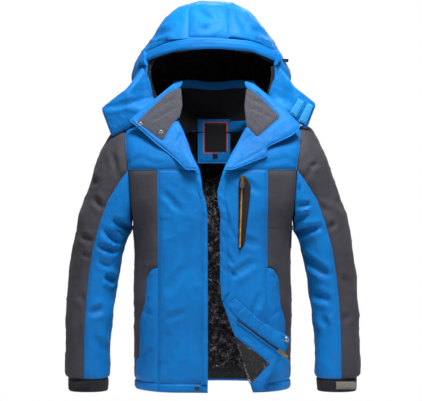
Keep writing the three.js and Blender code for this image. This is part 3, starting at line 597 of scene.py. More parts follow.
def bend(kind):
    ends = {
        "front_right": ((-150, -120, yoke), (-90, -120, yoke)),
        "front_left": ((150, -120, yoke), (90, -120, yoke)),
        "yoke_right": ((-150, -120, yoke), (-99.8, -120, yoke - 22.2)),
        "yoke_left": ((150, -120, yoke), (99.8, -120, yoke - 22.2)),
        "arm_right": ((-212, 0, 425), (-298, 0, 325)),
        "arm_left": ((212, 0, 425), (298, 0, 325)),
        "hood": ((-4, 30, 765), (-4, 30, 880)),
    }[kind]
    start, end = [tuple(float(v) for v in toFrame([p])[0]) for p in ends]
    return ("jacket_body", kind.replace("yoke", "front"), start, end)


gap = torsoShape["fold"]
pocketRows = [(22, 206), (76, 206), (84, 196), (184, 194), (228, 180), (298, 174), (318, 161), (322, 145)]
yokeRows = {
    -1: [(yoke, 33), (yoke + 47, 56), (yoke + 68, 62), (yoke + 109, 78), (shoulder + 14, 96)],
    1: [(yoke, 28), (yoke + 47, 50), (yoke + 68, 63), (yoke + 109, 84), (shoulder + 14, 100)],
}
rightEdge = [(-13, yoke - 117), (-18, yoke - 78), (-26, yoke - 57), (-28, yoke - 31), (-33, yoke)]
leftEdge = [(19, underarm + 10), (21, yoke - 120), (14, yoke - 86), (12, yoke - 56), (20, yoke - 26),
            (28, yoke)]
foldLine = [(24, 238), (58, 147), (105, 0)]
shells = {}

for name, side in (("right", -1), ("left", 1)):
    flip = side < 0
    kind = "front_" + name
    # Yoke: rows climb to the shoulder ridge, columns run from the neck out to the armhole.
    rows = np.concatenate([rowsOf(yoke, shoulder - 40, 7), shoulder - 40 + 41 * (np.linspace(0.12, 1,
            12) ** 0.6)])
    neck = polyline(yokeRows[side])

    def yokePlace(x, z, offset=0.0):
        a, b, n = sectionAt(z, offset)
        x = np.minimum(x, a - 0.5)
        y = -b * (1 - (x / a) ** n) ** (1 / n)
        return np.stack([side * x, y, z], axis=-1)

    grid = spanGrid(rows, neck, lambda z: float(min(armholeAt(z), sectionAt(z)[0] - 1)), 30, yokePlace)
    yokeFolds = [((side * 175, 615), (side * 222, 590), 5, 1.5),
                 ((side * 120, 588), (side * 190, 604), 6, 1.4)]
    obj, _, _ = sewnGrid("yoke_front_" + name, grid, wall, blueShell,
                         field=crumple(3 + side, 1.4, 52, yokeFolds), flip=flip)
    shells["yoke" + name] = finish(obj, nodes=["front_yoke_" + name],
                                   bend=bend("yoke_" + name))

    # Side panel: wraps from the pocket seam round to the back, then runs up either side of the armhole.
    pocket = polyline(pocketRows)

    def sideStart(z):
        edge = pocket(z) if z <= 322 else gap
        return abs(float(angleAt(side * edge, z)))

    def sideStop(z):
        return abs(float(angleAt(side * torsoShape["backSeam"], z, True)))

    def wrapPlace(phi, z, offset=0.0):
        return torsoAt(side * phi, z, offset)

    rows = rowsOf(22, underarm + 5, 7)
    lower, _, _ = sewnGrid("side_" + name, spanGrid(rows, sideStart, sideStop, 40, wrapPlace), wall,
                           charcoalShell,
                           sides=("left", "right", "low"), field=crumple(11 + side, 2.0, 50), flip=flip)
    rows = rowsOf(underarm + 2, yoke, 7)
    upperFront, _, _ = sewnGrid("sideFront" + name, spanGrid(
        rows, lambda z: float(gap), lambda z: float(armholeAt(z)), 14,
        lambda x, z: np.stack([side * x, torsoSkin()(x, z), z], axis=-1)), wall, charcoalShell,
        sides=("left", "right", "high"), field=crumple(21 + side, 1.6, 50), flip=flip)
    upperBack, _, _ = sewnGrid("sideBack" + name, spanGrid(
        rows, lambda z: float(torsoShape["backSeam"]), lambda z: float(armholeAt(z)), 12,
        lambda x, z: np.stack([side * x, torsoSkin(back=True)(x, z), z], axis=-1)), wall, charcoalShell,
        sides=("left", "right", "high"), field=crumple(31 + side, 1.6, 50), flip=not flip)
    obj = joined(lower, upperFront, upperBack)
    obj.name = "side_cloth_" + name
    shells["side" + name] = finish(obj, "jacket_body", ["side_panel_" + name])

    # Pocket panel on the lower front corner of the side.
    rows = np.concatenate([rowsOf(22, 300, 7), np.array([305, 310, 314, 318, 321])])
    grid = spanGrid(rows, lambda z: abs(float(angleAt(side * gap, z))), sideStart, 22, wrapPlace)
    pocketFolds = [((side * 150, 300), (side * 186, 292), 4, 1.6),
                   ((side * 152, 200), (side * 186, 214), 5, 1.6),
                   ((side * 150, 110), (side * 190, 92), 6, 1.8)]
    obj, _, _ = sewnGrid("pocket_cloth_" + name, grid, wall, blueShell,
                         field=crumple(41 + side, 2.0, 40, pocketFolds, pucker=1.3), flip=flip)
    shells["pocket" + name] = finish(obj, "jacket_body", ["pocket_panel_" + name])
print("front yokes, side and pocket panels made")

backOutline = [(-160, 22), (160, 22), (160, yoke), (-160, yoke)]
backFolds = [((-120, 330), (110, 300), 11, 2.6), ((-90, 470), (-20, 380), 10, 2.2),
             ((130, 480), (40, 410), 10, 2.4),
             ((-140, 180), (60, 150), 12, 2.4), ((-60, 90), (140, 120), 12, 2.2)]
shells["back"] = finish(
    sewnPanel("back_cloth", backOutline, torsoSkin(back=True), wall, blueShell, step=7, facing=1,
              field=crumple(51, 2.4, 70, backFolds, frontOnly=False)),
    "jacket_body", ["back_panel"])
rows = np.concatenate([rowsOf(yoke, shoulder - 40, 7), shoulder - 40 + 41 * (np.linspace(0.12, 1,
        12) ** 0.6)])


def backYokePlace(x, z):
    a, b, n = sectionAt(z)
    x = np.clip(x, -a + 0.5, a - 0.5)
    y = b * (1 - (np.abs(x) / a) ** n) ** (1 / n)
    inNeck = ((x - 4) / 112) ** 2 < 1
    bowl = 10 + 85 * np.sqrt(np.clip(1 - ((x - 4) / 112) ** 2, 0, 1))
    y = np.where(inNeck & (z > 640), np.maximum(y, bowl), y)
    return np.stack([-x, y, z], axis=-1)


grid = spanGrid(rows, lambda z: -float(min(armholeAt(z), sectionAt(z)[0] - 1)),
                lambda z: float(min(armholeAt(z), sectionAt(z)[0] - 1)), 66, backYokePlace)
obj, _, _ = sewnGrid("yoke_back", grid, wall, blueShell, field=crumple(61, 1.8, 60, frontOnly=False))
shells["yokeback"] = finish(obj, "jacket_body", ["back_yoke"])

# Hem band round the sides and the back, then the right front's own length.
hemRows = rowsOf(0, 22, 3.6)
grid = spanGrid(hemRows, lambda z: float(angleAt(gap, z)), lambda z: 2 * math.pi - float(angleAt(gap, z)),
                150, torsoAt)
obj, _, _ = sewnGrid("hem_cloth", grid, wall, blueShell, puff=2.4, width=3, field=crumple(71, 0.8, 24))
shells["hem"] = finish(obj, "jacket_body", ["hem_band"])
obj = sewnPanel("hem_cloth_right", [(-144, 0), (-13, 0), (-13, 22), (-144, 22)], torsoSkin(), wall, blueShell,
                puff=2.4, width=3, step=4, field=crumple(72, 0.8, 24))
shells["hemright"] = finish(obj, nodes=["hem_band_right"], bend=bend("front_right"))

rightOutline = [(-144, 22), (-13, 22), *rightEdge, (-144, yoke)]
rightFolds = [((-130, 520), (-84, 470), 8, 2.0), ((-120, 250), (-70, 330), 10, 2.4),
              ((-90, 130), (-128, 60), 9, 2.0),
              ((-70, 210), (-122, 190), 8, 1.8), ((-144, 79), (-118, 72), 2.4, 1.4),
              ((-115, 68), (-99, 26), 2.4, 1.4)]
obj = sewnPanel("front_cloth_right", rightOutline, torsoSkin(), wall, blueShell, step=5.5,
                field=crumple(81, 2.2, 58, rightFolds, stretch=(1, 1, 1.5)))
shells["panelright"] = finish(obj, nodes=["front_panel_right"], bend=bend("front_right"))
leftOutline = [(144, 0), (144, yoke), *leftEdge[::-1], (19, 290), *foldLine]
leftFolds = [((120, 520), (60, 560), 8, 1.8), ((48, 300), (110, 340), 9, 2.4),
             ((60, 400), (128, 380), 9, 1.8),
             ((128, 260), (96, 190), 8, 2.0), ((28, 470), (52, 405), 5, 2.2), ((24, 505), (42, 446), 4, 2.0),
             ((22, 380), (50, 332), 5, 2.2), ((30, 332), (60, 296), 5, 2.2), ((22, 430), (38, 396), 4, 1.8)]
obj = sewnPanel("front_cloth_left", leftOutline, torsoSkin(), wall, blueShell, step=5.5,
                field=crumple(83, 2.2, 58, leftFolds, stretch=(1, 1, 1.5)))
shells["panelleft"] = finish(obj, nodes=["front_panel_left"], bend=bend("front_left"))
placketOutline = [(-68, yoke), (-54, yoke - 16), (-41, yoke - 37), (-30, yoke - 76), (-29, 22), (-13, 22),
                  *rightEdge]
obj = sewnPanel("placket_cloth", placketOutline, torsoSkin(3.4), 3, blueShell, puff=1.8, width=4, step=4,
                field=crumple(85, 0.9, 26, pucker=1.6))
shells["placket"] = finish(obj, nodes=["placket"], bend=bend("front_right"))
edgeOutline = [*leftEdge[::-1], (19, 290), (24, 240), (44, 262), (39, 330), (37, 400), (40, 452), (33, 492),
               (31, 520), (38, 552), (48, yoke)]
edgeFolds = [((20, 498), (36, 470), 4, 1.5), ((18, 458), (40, 430), 4, 1.6), ((18, 420), (38, 386), 4, 1.5),
             ((20, 372), (38, 350), 4, 1.5), ((20, 336), (40, 306), 4, 1.6), ((14, 528), (32, 508), 4, 1.4)]
obj = sewnPanel("edge_facing_left", softened(edgeOutline, 5), torsoSkin(4.2), 3, blueShell, puff=2.6, width=3,
                step=4, field=crumple(87, 1.2, 20, edgeFolds, pucker=1.4))
shells["edge"] = finish(obj, bend=bend("front_left"))
print("back, hem and front panels made")

# Pile lining inside the body, seen through the neck and from below.
liningShape = {"offset": -9.0, "wall": 5.0, "step": 11, "low": 6, "high": 686}
inside = liningShape["offset"]
rows = rowsOf(liningShape["low"], underarm, 13)
pieces = []
obj, _, _ = sewnGrid("body_lining_pile", spanGrid(
    rows, lambda z: float(angleAt(gap, z)), lambda z: 2 * math.pi - float(angleAt(gap, z)), 110,
    lambda phi, z: torsoAt(phi, z, inside)), liningShape["wall"], fleeceBase, puff=2,
    field=crumple(91, 1.5, 40))
pieces.append(obj)
rows = rowsOf(underarm, liningShape["high"], 11)
obj, _, _ = sewnGrid("liningBack", spanGrid(
    rows, lambda z: -float(armholeAt(z)) + 1, lambda z: float(armholeAt(z)) - 1, 44,
    lambda x, z: np.stack([-x, torsoSkin(inside, True)(x, np.minimum(z, 690)), z], axis=-1)),
    liningShape["wall"], fleeceBase, puff=2, field=crumple(92, 1.5, 40))
pieces.append(obj)
for side in (-1, 1):
    neck = polyline(yokeRows[side])
    obj, _, _ = sewnGrid("liningYoke", spanGrid(
        rows, lambda z: float(neck(z) + 4) if z > yoke else float(gap), lambda z: float(armholeAt(z)) - 1, 20,
        lambda x, z: np.stack([side * x, torsoSkin(inside)(x, z), z], axis=-1)),
        liningShape["wall"], fleeceBase, puff=2, field=crumple(93, 1.2, 40), flip=side < 0)
    pieces.append(obj)
finish(joined(*pieces), "jacket_body", ["body_lining"])
rightLining = [(-144, 6), (-17, 6), (-17, yoke - 130), (-40, yoke), (-144, yoke)]
leftLining = [(144, 6), (144, yoke), (40, yoke), (26, yoke - 100), (26, 238), (63, 147), (110, 6)]
for name, outline in (("right", rightLining), ("left", leftLining)):
    obj = sewnPanel("lining_pile_" + name, outline, torsoSkin(inside), 5, fleeceBase, puff=2, step=9,
                    field=crumple(95, 1.2, 40))
    finish(obj, nodes=["lining_" + name], bend=bend("front_" + name))
print("linings made")

sleeveShape = {
    "table": [
        [-8, 106, 64, 50, -14], [24, 108, 63, 53, -13], [32, 118, 60, 56, -13],
        [underarm - 325, 118, 60, 60, -12],
        [underarm - 225, 124, 51, 64, -9], [underarm - 125, 130, 38, 70, -6],
        [underarm - 45, 139, 18, 78, -3],
        [underarm - 8, 148, 3, 82, 0], [underarm + 12, 161, -13, 85, 0], [underarm + 35, 188, -44, 88, 0],
        [underarm + 75, 212, -85, 94, 0], [yoke, 207, -104, 97, 0], [yoke + 55, 188, -106, 88, 0],
        [shoulder - 46, 172, -108, 68, 0], [shoulder - 22, 150, -102, 46, 0],
        [shoulder - 12, 118, -92, 26, 0],
    ],
    "colourLine": [(-40, 341), (160, 337), (238, 332), (311, 324), (373, 314), (441, 295), (498, 275),
                   (548, 243), (yoke, 221)],
    "step": 5.5, "puff": 3.4,
}
rightSleeveFolds = {
    "outer": [((-262, 620), (-246, 553), 6, 3.2), ((-312, 503), (-282, 472), 7, 3.6),
              ((-347, 404), (-311, 389), 7, 3.4),
              ((-342, 359), (-316, 343), 6, 2.8), ((-330, 560), (-300, 540), 9, 2.4),
              ((-352, 250), (-330, 226), 8, 2.2), ((-360, 130), (-346, 170), 8, 2.2)],
    "inner": [((-262, 446), (-210, 422), 7, 4.4), ((-285, 420), (-247, 383), 7, 4.4),
              ((-303, 378), (-251, 362), 7, 4.6),
              ((-282, 297), (-253, 281), 8, 4.0), ((-324, 202), (-288, 212), 9, 3.2),
              ((-312, 140), (-284, 96), 9, 2.6), ((-300, 340), (-270, 322), 7, 2.8)],
}
leftSleeveFolds = {
    "outer": [((243, 547), (256, 584), 6, 3.0), ((256, 584), (274, 594), 6, 2.6),
              ((278, 486), (302, 465), 7, 3.4),
              ((302, 423), (322, 438), 7, 3.4), ((330, 500), (346, 470), 9, 2.4),
              ((330, 300), (352, 280), 8, 2.4), ((340, 180), (362, 196), 8, 2.2)],
    "inner": [((227, 534), (212, 500), 6, 3.6), ((219, 482), (256, 488), 6, 3.6),
              ((216, 446), (248, 460), 7, 4.2),
              ((209, 407), (282, 428), 8, 4.8), ((230, 355), (305, 300), 9, 4.4),
              ((290, 191), (300, 165), 8, 3.2), ((262, 250), (312, 232), 9, 3.0)],
}


def sleeveAt(side, phi, z, offset=0.0):
    table = sleeveShape["table"]
    width, edge, b, cy = [columnAt(table, z, i) for i in (1, 2, 3, 4)]
    a, b = width / 2 + offset, b + offset
    s, c = np.sin(phi), np.cos(phi)
    power = 2 / 2.1
    x = armhole + edge + width / 2 + a * np.sign(s) * np.abs(s) ** power
    return np.stack([side * x, cy - b * np.sign(c) * np.abs(c) ** power, z], axis=-1)


# Angle from the sleeve's front at which it reaches a given distance from the jacket's middle.
def sleeveAngle(distance, z):
    table = sleeveShape["table"]
    width, edge = columnAt(table, z, 1), columnAt(table, z, 2)
    reach = np.clip((distance - (armhole + edge + width / 2)) / (width / 2), -1, 1)
    return float(np.sign(reach) * np.arcsin(np.abs(reach) ** 1.05))


colourLine = polyline(sleeveShape["colourLine"])
for name, side, folds in (("right", -1, rightSleeveFolds), ("left", 1, leftSleeveFolds)):
    flip = side < 0
    kind = "arm_" + name
    turn = lambda phi, z: sleeveAt(side, phi, z)
    outerRows = np.concatenate([rowsOf(24, shoulder - 46, 6), shoulder - 46 + 34 * np.linspace(0.12, 1,
            9) ** 0.7])
    outerEdge = lambda z: sleeveAngle(max(colourLine(z), float(armholeAt(z)) if z > underarm else 0), z)
    obj, _, _ = sewnGrid("sleeve_cloth_outer_" + name, spanGrid(
        outerRows, outerEdge, lambda z: math.pi - outerEdge(z), 40, turn), wall, charcoalShell, puff=3.4,
        field=crumple(101 + side, 2.6, 42, folds["outer"], (1, 1, 1.2), foldGain=2.1), flip=flip)
    shells["outer" + name] = finish(obj, nodes=["sleeve_outer_" + name, "shoulder_cap_" + name],
                                    bend=bend(kind))
    innerField = crumple(111 + side, 2.4, 42, folds["inner"], (1, 1, 1.2), foldGain=2.1)
    low = rowsOf(24, underarm - 3, 6)
    lower, _, _ = sewnGrid("sleeve_cloth_inner_" + name, spanGrid(
        low, lambda z: -math.pi - sleeveAngle(colourLine(z), z), lambda z: sleeveAngle(colourLine(z), z), 64,
        turn), wall, blueShell, puff=3.4, sides=("left", "right", "low"), field=innerField, flip=flip)
    high = rowsOf(underarm - 4, yoke - 1, 6)
    inner = lambda z: sleeveAngle(float(armholeAt(z)), z) if z > underarm - 3 else -math.pi / 2
    front, _, _ = sewnGrid("front", spanGrid(high, inner, lambda z: sleeveAngle(colourLine(z), z), 18, turn),
                           wall, blueShell, puff=3.4, sides=("left", "right", "high"), field=innerField,
                           flip=flip)
    backPart, _, _ = sewnGrid("back", spanGrid(
        high, lambda z: math.pi - sleeveAngle(colourLine(z), z), lambda z: math.pi - inner(z), 18, turn),
        wall, blueShell, puff=3.4, sides=("left", "right", "high"), field=innerField, flip=flip)
    shells["inner" + name] = finish(joined(lower, front, backPart), nodes=["sleeve_inner_" + name],
                                    bend=bend(kind))
    # Cuff: a short closed band of twill, turned in at the mouth.
    u = np.linspace(-math.pi, math.pi, 73)[:-1]
    grid = np.array([sleeveAt(side, u, np.full(72, z), -4.0 * float(smoothStep(z, 22,
            30))) for z in rowsOf(-8, 33, 3.2)])
    obj, _, _ = sewnGrid("cuff_cloth_" + name, grid, 5, blackTwill, puff=2.2, width=3, sides=("low", "high"),
                         field=crumple(121 + side, 1.1, 22), flip=flip, closed=True)
    shells["cuff" + name] = finish(obj, kind, ["cuff_" + name])
print("sleeves made")

collarShape = {"x": 4, "y": 10, "a": 112, "b": 85, "low": shoulder - 32, "high": shoulder + 110,
               "turnDown": 22, "wall": 5, "open": 1.2}
lapelPlane = {"level": -halfDepth - 22.8 - 0.5217 * yoke, "x": 0.0887, "z": 0.5217}


def lapelSkin(lift=0.0, bulge=7.0):
    def depth(x, z):
        y = lapelPlane["level"] + lapelPlane["x"] * np.abs(x) + lapelPlane["z"] * z - lift
        roll = np.exp(-((np.abs(x) - 150) / 52) ** 2) * np.exp(-((z - yoke - 118) / 62) ** 2)
        return y - bulge * roll + 2.2 * np.sin((np.abs(x) + z) / 27.0)
    return depth


# Columns go round the back of the neck; rows go up outside, over the top and down inside.
def collarGrid(path, columns):
    u = np.linspace(collarShape["open"], 2 * math.pi - collarShape["open"], columns)
    grid = []
    for offset, z in path:
        s, c = np.sin(u), np.cos(u)
        power = 2 / 2.2
        x = collarShape["x"] + (collarShape["a"] + offset) * np.sign(s) * np.abs(s) ** power
        y = collarShape["y"] - (collarShape["b"] + offset) * np.sign(c) * np.abs(c) ** power
        cut = lapelPlane["level"] + lapelPlane["x"] * np.abs(x) + lapelPlane["z"] * z + 7
        rise = smoothStep(np.full_like(u, z), collarShape["low"], collarShape["high"])
        fromEnd = np.minimum(u, 2 * math.pi - u) - collarShape["open"]
        slack = (2.2 * np.sin(u * 5.3 + 0.6) - 30 * (1 - smoothStep(fromEnd, 0, 0.7))) * rise
        grid.append(np.stack([x, np.maximum(y, np.minimum(cut, 20)), np.full_like(u, z) + slack], axis=-1))
    return np.array(grid)


top, low = collarShape["high"], collarShape["low"]
path = [(-1, z) for z in rowsOf(low, top - 4, 7)]
path += [(-1.5, top - 1.5), (-3, top), (-5, top), (-6.5, top - 1.5)]
path += [(-7, z) for z in rowsOf(top - 5, top - collarShape["turnDown"], 4)]
obj, _, _ = sewnGrid("collar_cloth", collarGrid(path, 74), 1.5, blueShell, puff=0.8, width=3,
                     sides=("left", "right"), field=crumple(131, 0.8, 30, pucker=0.3))
shells["collar"] = finish(obj, "jacket_body", ["collar"])
path = [(-7.5, z) for z in rowsOf(low + 2, top - collarShape["turnDown"] + 3, 6)][::-1]
obj, _, _ = sewnGrid("collar_inside", collarGrid(path, 74), 2.2, blackTwill, puff=0.8,
                     field=crumple(132, 1.2, 34))
finish(obj, "jacket_body", ["collar_lining"])

rightLapel = [(-78, yoke + 239), (-104, yoke + 231), (-219, yoke + 133), (-191, yoke + 109),
              (-146, yoke + 68),
              (-118, yoke + 47), (-93, yoke + 26), (-68, yoke + 1), (-34, yoke + 1), (-56, yoke + 47),
              (-62, yoke + 68), (-78, yoke + 109), (-91, yoke + 130), (-102, yoke + 127), (-130, yoke + 77),
              (-198, yoke + 128), (-119, yoke + 206), (-84, yoke + 222)]
rightFacing = [(-119, yoke + 206), (-84, yoke + 222), (-80, yoke + 170), (-86, yoke + 140),
               (-102, yoke + 127), (-130, yoke + 77), (-198, yoke + 128)]
leftLapel = [(84, yoke + 239), (110, yoke + 231), (197, yoke + 156), (232, yoke + 118), (209, yoke + 92),
             (141, yoke + 60), (141, yoke + 36), (52, yoke + 1), (28, yoke + 1), (40, yoke + 26),
             (63, yoke + 68),
             (84, yoke + 109), (92, yoke + 116), (115, yoke + 88), (177, yoke + 141), (121, yoke + 200),
             (101, yoke + 214), (88, yoke + 222)]
leftFacing = [(121, yoke + 200), (90, yoke + 220), (84, yoke + 172), (88, yoke + 116), (115, yoke + 88),
              (177, yoke + 141)]
facingFolds = {
    "right": [((-92, 742), (-160, 704), 4.5, 1.7), ((-100, 768), (-150, 736), 4.5, 1.6),
              ((-96, 716), (-128, 668), 4.5, 1.6)],
    "left": [((92, 742), (150, 716), 4.5, 1.7), ((98, 768), (140, 744), 4.5, 1.6),
             ((96, 712), (122, 676), 4.5, 1.6)],
}
lapelFolds = {
    "right": [((-212, 703), (-70, 586), 2.4, 1.5), ((-96, 640), (-66, 690), 6, 1.6)],
    "left": [((60, 590), (138, 632), 2.4, 1.4), ((146, 640), (214, 676), 2.4, 1.4),
             ((70, 640), (104, 668), 6, 1.6)],
}
for name, lapel, facing in (("right", rightLapel, rightFacing), ("left", leftLapel, leftFacing)):
    kind = "front_" + name
    obj = sewnPanel("lapel_cloth_" + name, softened(lapel, 7), lapelSkin(), 4, blueShell, puff=3.4, width=5,
                    step=4, field=crumple(141, 1.5, 30, lapelFolds[name], pucker=0.9))
    shells["lapel" + name] = finish(obj, nodes=["lapel_" + name],
                                    bend=bend("yoke_" + name))
    obj = sewnPanel("facing_cloth_" + name, softened(facing, 7), lapelSkin(0.8), 4, heather, puff=2.8,
                    width=5, step=4, field=crumple(143, 2.0, 30, facingFolds[name], pucker=1.0))
    finish(obj, nodes=["collar_facing_" + name], bend=bend("yoke_" + name))

neckSkin = lambda x, z: 80.2 - 3.0 * np.cos(x / 90) + 0 * z
neckOutline = [(-40, yoke + 22), (48, yoke + 22), (48, shoulder + 6), (-40, shoulder + 6)]
obj = sewnPanel("neck_facing_cloth", neckOutline, neckSkin, 2, blueShell, puff=1.0, width=3, step=5,
                field=crumple(151, 1.0, 24))
shells["neck"] = finish(obj, "jacket_body", ["neck_facing"])
print("collar made")

hoodShape = {
    "table": [
        [shoulder - 2, 170, -60, 112], [shoulder + 8, 171, -62, 118], [shoulder + 48, 198, -70, 146],
        [shoulder + 98, 213, -82, 172], [shoulder + 140, 209, -90, 184], [shoulder + 182, 187, -92, 184],
        [shoulder + 225, 158, -84, 172], [shoulder + 270, 124, -60, 146], [shoulder + 300, 92, -30, 114],
        [shoulder + 312, 66, -6, 88], [shoulder + 319, 38, 16, 64], [shoulder + 322, 12, 32, 46],
    ],
    "x": -4, "power": 2.1, "faceFront": -36, "brimBack": -20, "low": shoulder, "seams": (-65, 43),
    "puff": 3.4,
}
faceTop = shoulder + 182
brimTop = faceTop + 30
faceRows = [(-194, faceTop - 38), (-163, faceTop - 21), (-99, faceTop - 5), (-8, faceTop), (105, faceTop - 5),
            (178, faceTop - 31)]
brimRows = [(-174, brimTop - 28), (-110, brimTop - 6), (-64, brimTop), (-8, brimTop), (105, brimTop - 6),
            (175, brimTop - 30)]


def hoodSection(z, offset=0.0):
    table = hoodShape["table"]
    a = columnAt(table, z, 1) + offset
    front, back = columnAt(table, z, 2), columnAt(table, z, 3)
    return np.maximum(a, 1), (front + back) / 2, np.maximum((back - front) / 2 + offset, 1)


def hoodAt(phi, z, offset=0.0):
    a, cy, b = hoodSection(z, offset)
    power = 2 / hoodShape["power"]
    s, c = np.sin(phi), np.cos(phi)
    return np.stack([hoodShape["x"] + a * np.sign(s) * np.abs(s) ** power,
                     cy - b * np.sign(c) * np.abs(c) ** power, z], axis=-1)


def hoodAngleX(x, z):
    a = hoodSection(z)[0]
    reach = np.clip((x - hoodShape["x"]) / a, -1, 1)
    return float(np.sign(reach) * np.arcsin(np.abs(reach) ** (hoodShape["power"] / 2)))


def hoodAngleY(y, z):
    _, cy, b = hoodSection(z)
    reach = np.clip((cy - y) / b, -1, 1)
    return float(np.pi / 2 - np.sign(reach) * np.arcsin(np.abs(reach) ** (hoodShape["power"] / 2)))


# Angle at which the cloth starts behind the brim, on one side.
def hoodFront(side, z):
    sideSign = 1 if side > 0 else -1
    if z < shoulder + 62:
        return hoodAngleY(hoodShape["faceFront"], z)
    if z < brimTop - 32:
        return hoodAngleY(hoodShape["brimBack"], z)
    rows = [(h, abs(x)) for x, h in brimRows if x * sideSign > 0] + [(brimTop + 1, 65 if side < 0 else 43)]
    x = float(np.interp(z, [r[0] for r in sorted(rows)], [r[1] for r in sorted(rows)]))
    limit = 65 if side < 0 else 43
    return min(abs(hoodAngleX(sideSign * max(x, limit), z)), hoodAngleY(hoodShape["brimBack"], z))


hoodTopRows = np.concatenate([rowsOf(hoodShape["low"], shoulder + 62, 6),
                              rowsOf(shoulder + 63, brimTop - 33, 6), rowsOf(brimTop - 32, brimTop, 3)])
hoodFolds = {
    -1: [((-168, 930), (-110, 948), 8, 3.0), ((-150, 880), (-190, 840), 8, 2.4)],
    1: [((160, 930), (104, 952), 8, 3.0), ((60, 985), (96, 940), 8, 2.6)],
}
for name, side in (("right", -1), ("left", 1)):
    seam = hoodShape["seams"][0 if side < 0 else 1]
    climbing = np.arange(shoulder + 290, shoulder + 321, 0.1)
    end = float(climbing[hoodSection(climbing)[0] > abs(seam - hoodShape["x"])][-1])
    allRows = np.concatenate([hoodTopRows, rowsOf(brimTop + 3, end - 7, 5),
                              end - np.array([5, 3.4, 2, 1, 0.4, 0])])
    grid = spanGrid(allRows, lambda z: hoodFront(side, z), lambda z: math.pi - abs(hoodAngleX(seam, z)), 52,
                    lambda phi, z: hoodAt(side * phi, z))
    obj, _, _ = sewnGrid("hood_cloth_" + name, grid, wall, blueShell, puff=3.4,
                         field=crumple(161 + side, 3.0, 52, hoodFolds[side], pucker=1.2), flip=side < 0)
    shells["hood" + name] = finish(obj, nodes=["hood_side_" + name], bend=bend("hood"))

# Middle panel: from the brim, over the crown, and down the back of the head.
crownSteps = [306, 308, 310, 311.5, 312.5, 313.5, 314.5, 315.5, 316.5, 317.5, 318.5, 319.5, 320.5, 321.5]
climb = [(z, -1) for z in rowsOf(brimTop, shoulder + 304, 5)]
climb += [(shoulder + h, -1) for h in crownSteps] + [(shoulder + 322, 0)]
climb += [(shoulder + h, 1) for h in crownSteps[::-1]]
climb += [(z, 1) for z in rowsOf(hoodShape["low"], shoulder + 304, 6)[::-1]]
grid = []
u = np.linspace(0, 1, 24)
for z, half in climb:
    a, cy, b = hoodSection(float(z))
    lowX, highX = max(-65, hoodShape["x"] - a + 0.001), min(43, hoodShape["x"] + a - 0.001)
    x = lowX + (highX - lowX) * u
    reach = np.clip(1 - (np.abs(x - hoodShape["x"]) / a) ** 2.1, 0, 1) ** (1 / 2.1)
    grid.append(np.stack([x, cy + half * b * reach, np.full_like(x, float(z))], axis=-1))
crownFolds = [((-40, 996), (0, 968), 8, 3.0), ((20, 960), (-30, 940), 8, 2.6)]
obj, _, _ = sewnGrid("hood_cloth_centre", np.array(grid), wall, blueShell, puff=3.4,
                     field=crumple(165, 3.0, 46, crownFolds, pucker=1.2))
shells["hoodcentre"] = finish(obj, nodes=["hood_centre", "hood_neck"], bend=bend("hood"))

# Brim band round the face, stiffened by rows of stitches.
faceLine = [(-abs(hoodAngleY(-36, z)), z) for z in np.linspace(shoulder + 62, faceTop - 40, 9)]
faceLine += [(hoodAngleX(x, z), z) for x, z in faceRows]
faceLine += [(abs(hoodAngleY(-36, z)), z) for z in np.linspace(faceTop - 40, shoulder + 62, 9)]
brimLine = [(-abs(hoodAngleY(-20, z)), z) for z in np.linspace(shoulder + 62, brimTop - 36, 9)]
brimLine += [(hoodAngleX(x, z), z) for x, z in brimRows]
brimLine += [(abs(hoodAngleY(-20, z)), z) for z in np.linspace(brimTop - 36, shoulder + 62, 9)]
columns = 150
positions = np.linspace(0, len(faceLine) - 1, columns)
index = np.arange(len(faceLine))
lines = [[np.interp(positions, index, [p[i] for p in line]) for i in (0, 1)] for line in (faceLine, brimLine)]
grid = np.array([hoodAt(lines[0][0] * (1 - t) + lines[1][0] * t, lines[0][1] * (1 - t) + lines[1][1] * t)
                 for t in np.linspace(0, 1, 10)])
obj, _, _ = sewnGrid("brim_cloth", grid, 7, blueShell, puff=3.0, width=4,
                     field=crumple(171, 1.6, 30, pucker=1.2))
shells["brim"] = finish(obj, nodes=["hood_brim"], bend=bend("hood"))

rows = np.concatenate([rowsOf(shoulder + 2, faceTop - 42, 8), rowsOf(faceTop - 38, faceTop, 4),
                       rowsOf(faceTop + 6, shoulder + 312, 6)])
rightFace = polyline([(faceTop - 42, -178), (faceTop - 38, -172), (faceTop - 21, -163), (faceTop - 5, -99),
                      (faceTop, -8)])
leftFace = polyline([(faceTop - 42, 180), (faceTop - 31, 170), (faceTop - 5, 105), (faceTop, -8)])


def liningEdge(z, face):
    if z <= faceTop - 42:
        return abs(hoodAngleY(hoodShape["faceFront"], z))
    return abs(hoodAngleX(face(z), z)) if z < faceTop else 0.0


grid = spanGrid(rows, lambda z: liningEdge(z, leftFace), lambda z: 2 * math.pi - liningEdge(z, rightFace),
                130, lambda phi, z: hoodAt(phi, z, -12))
obj, _, _ = sewnGrid("hood_pile", grid, 5, fleeceBase, puff=2, field=crumple(175, 2.2, 44))
finish(obj, nodes=["hood_lining"], bend=bend("hood"))

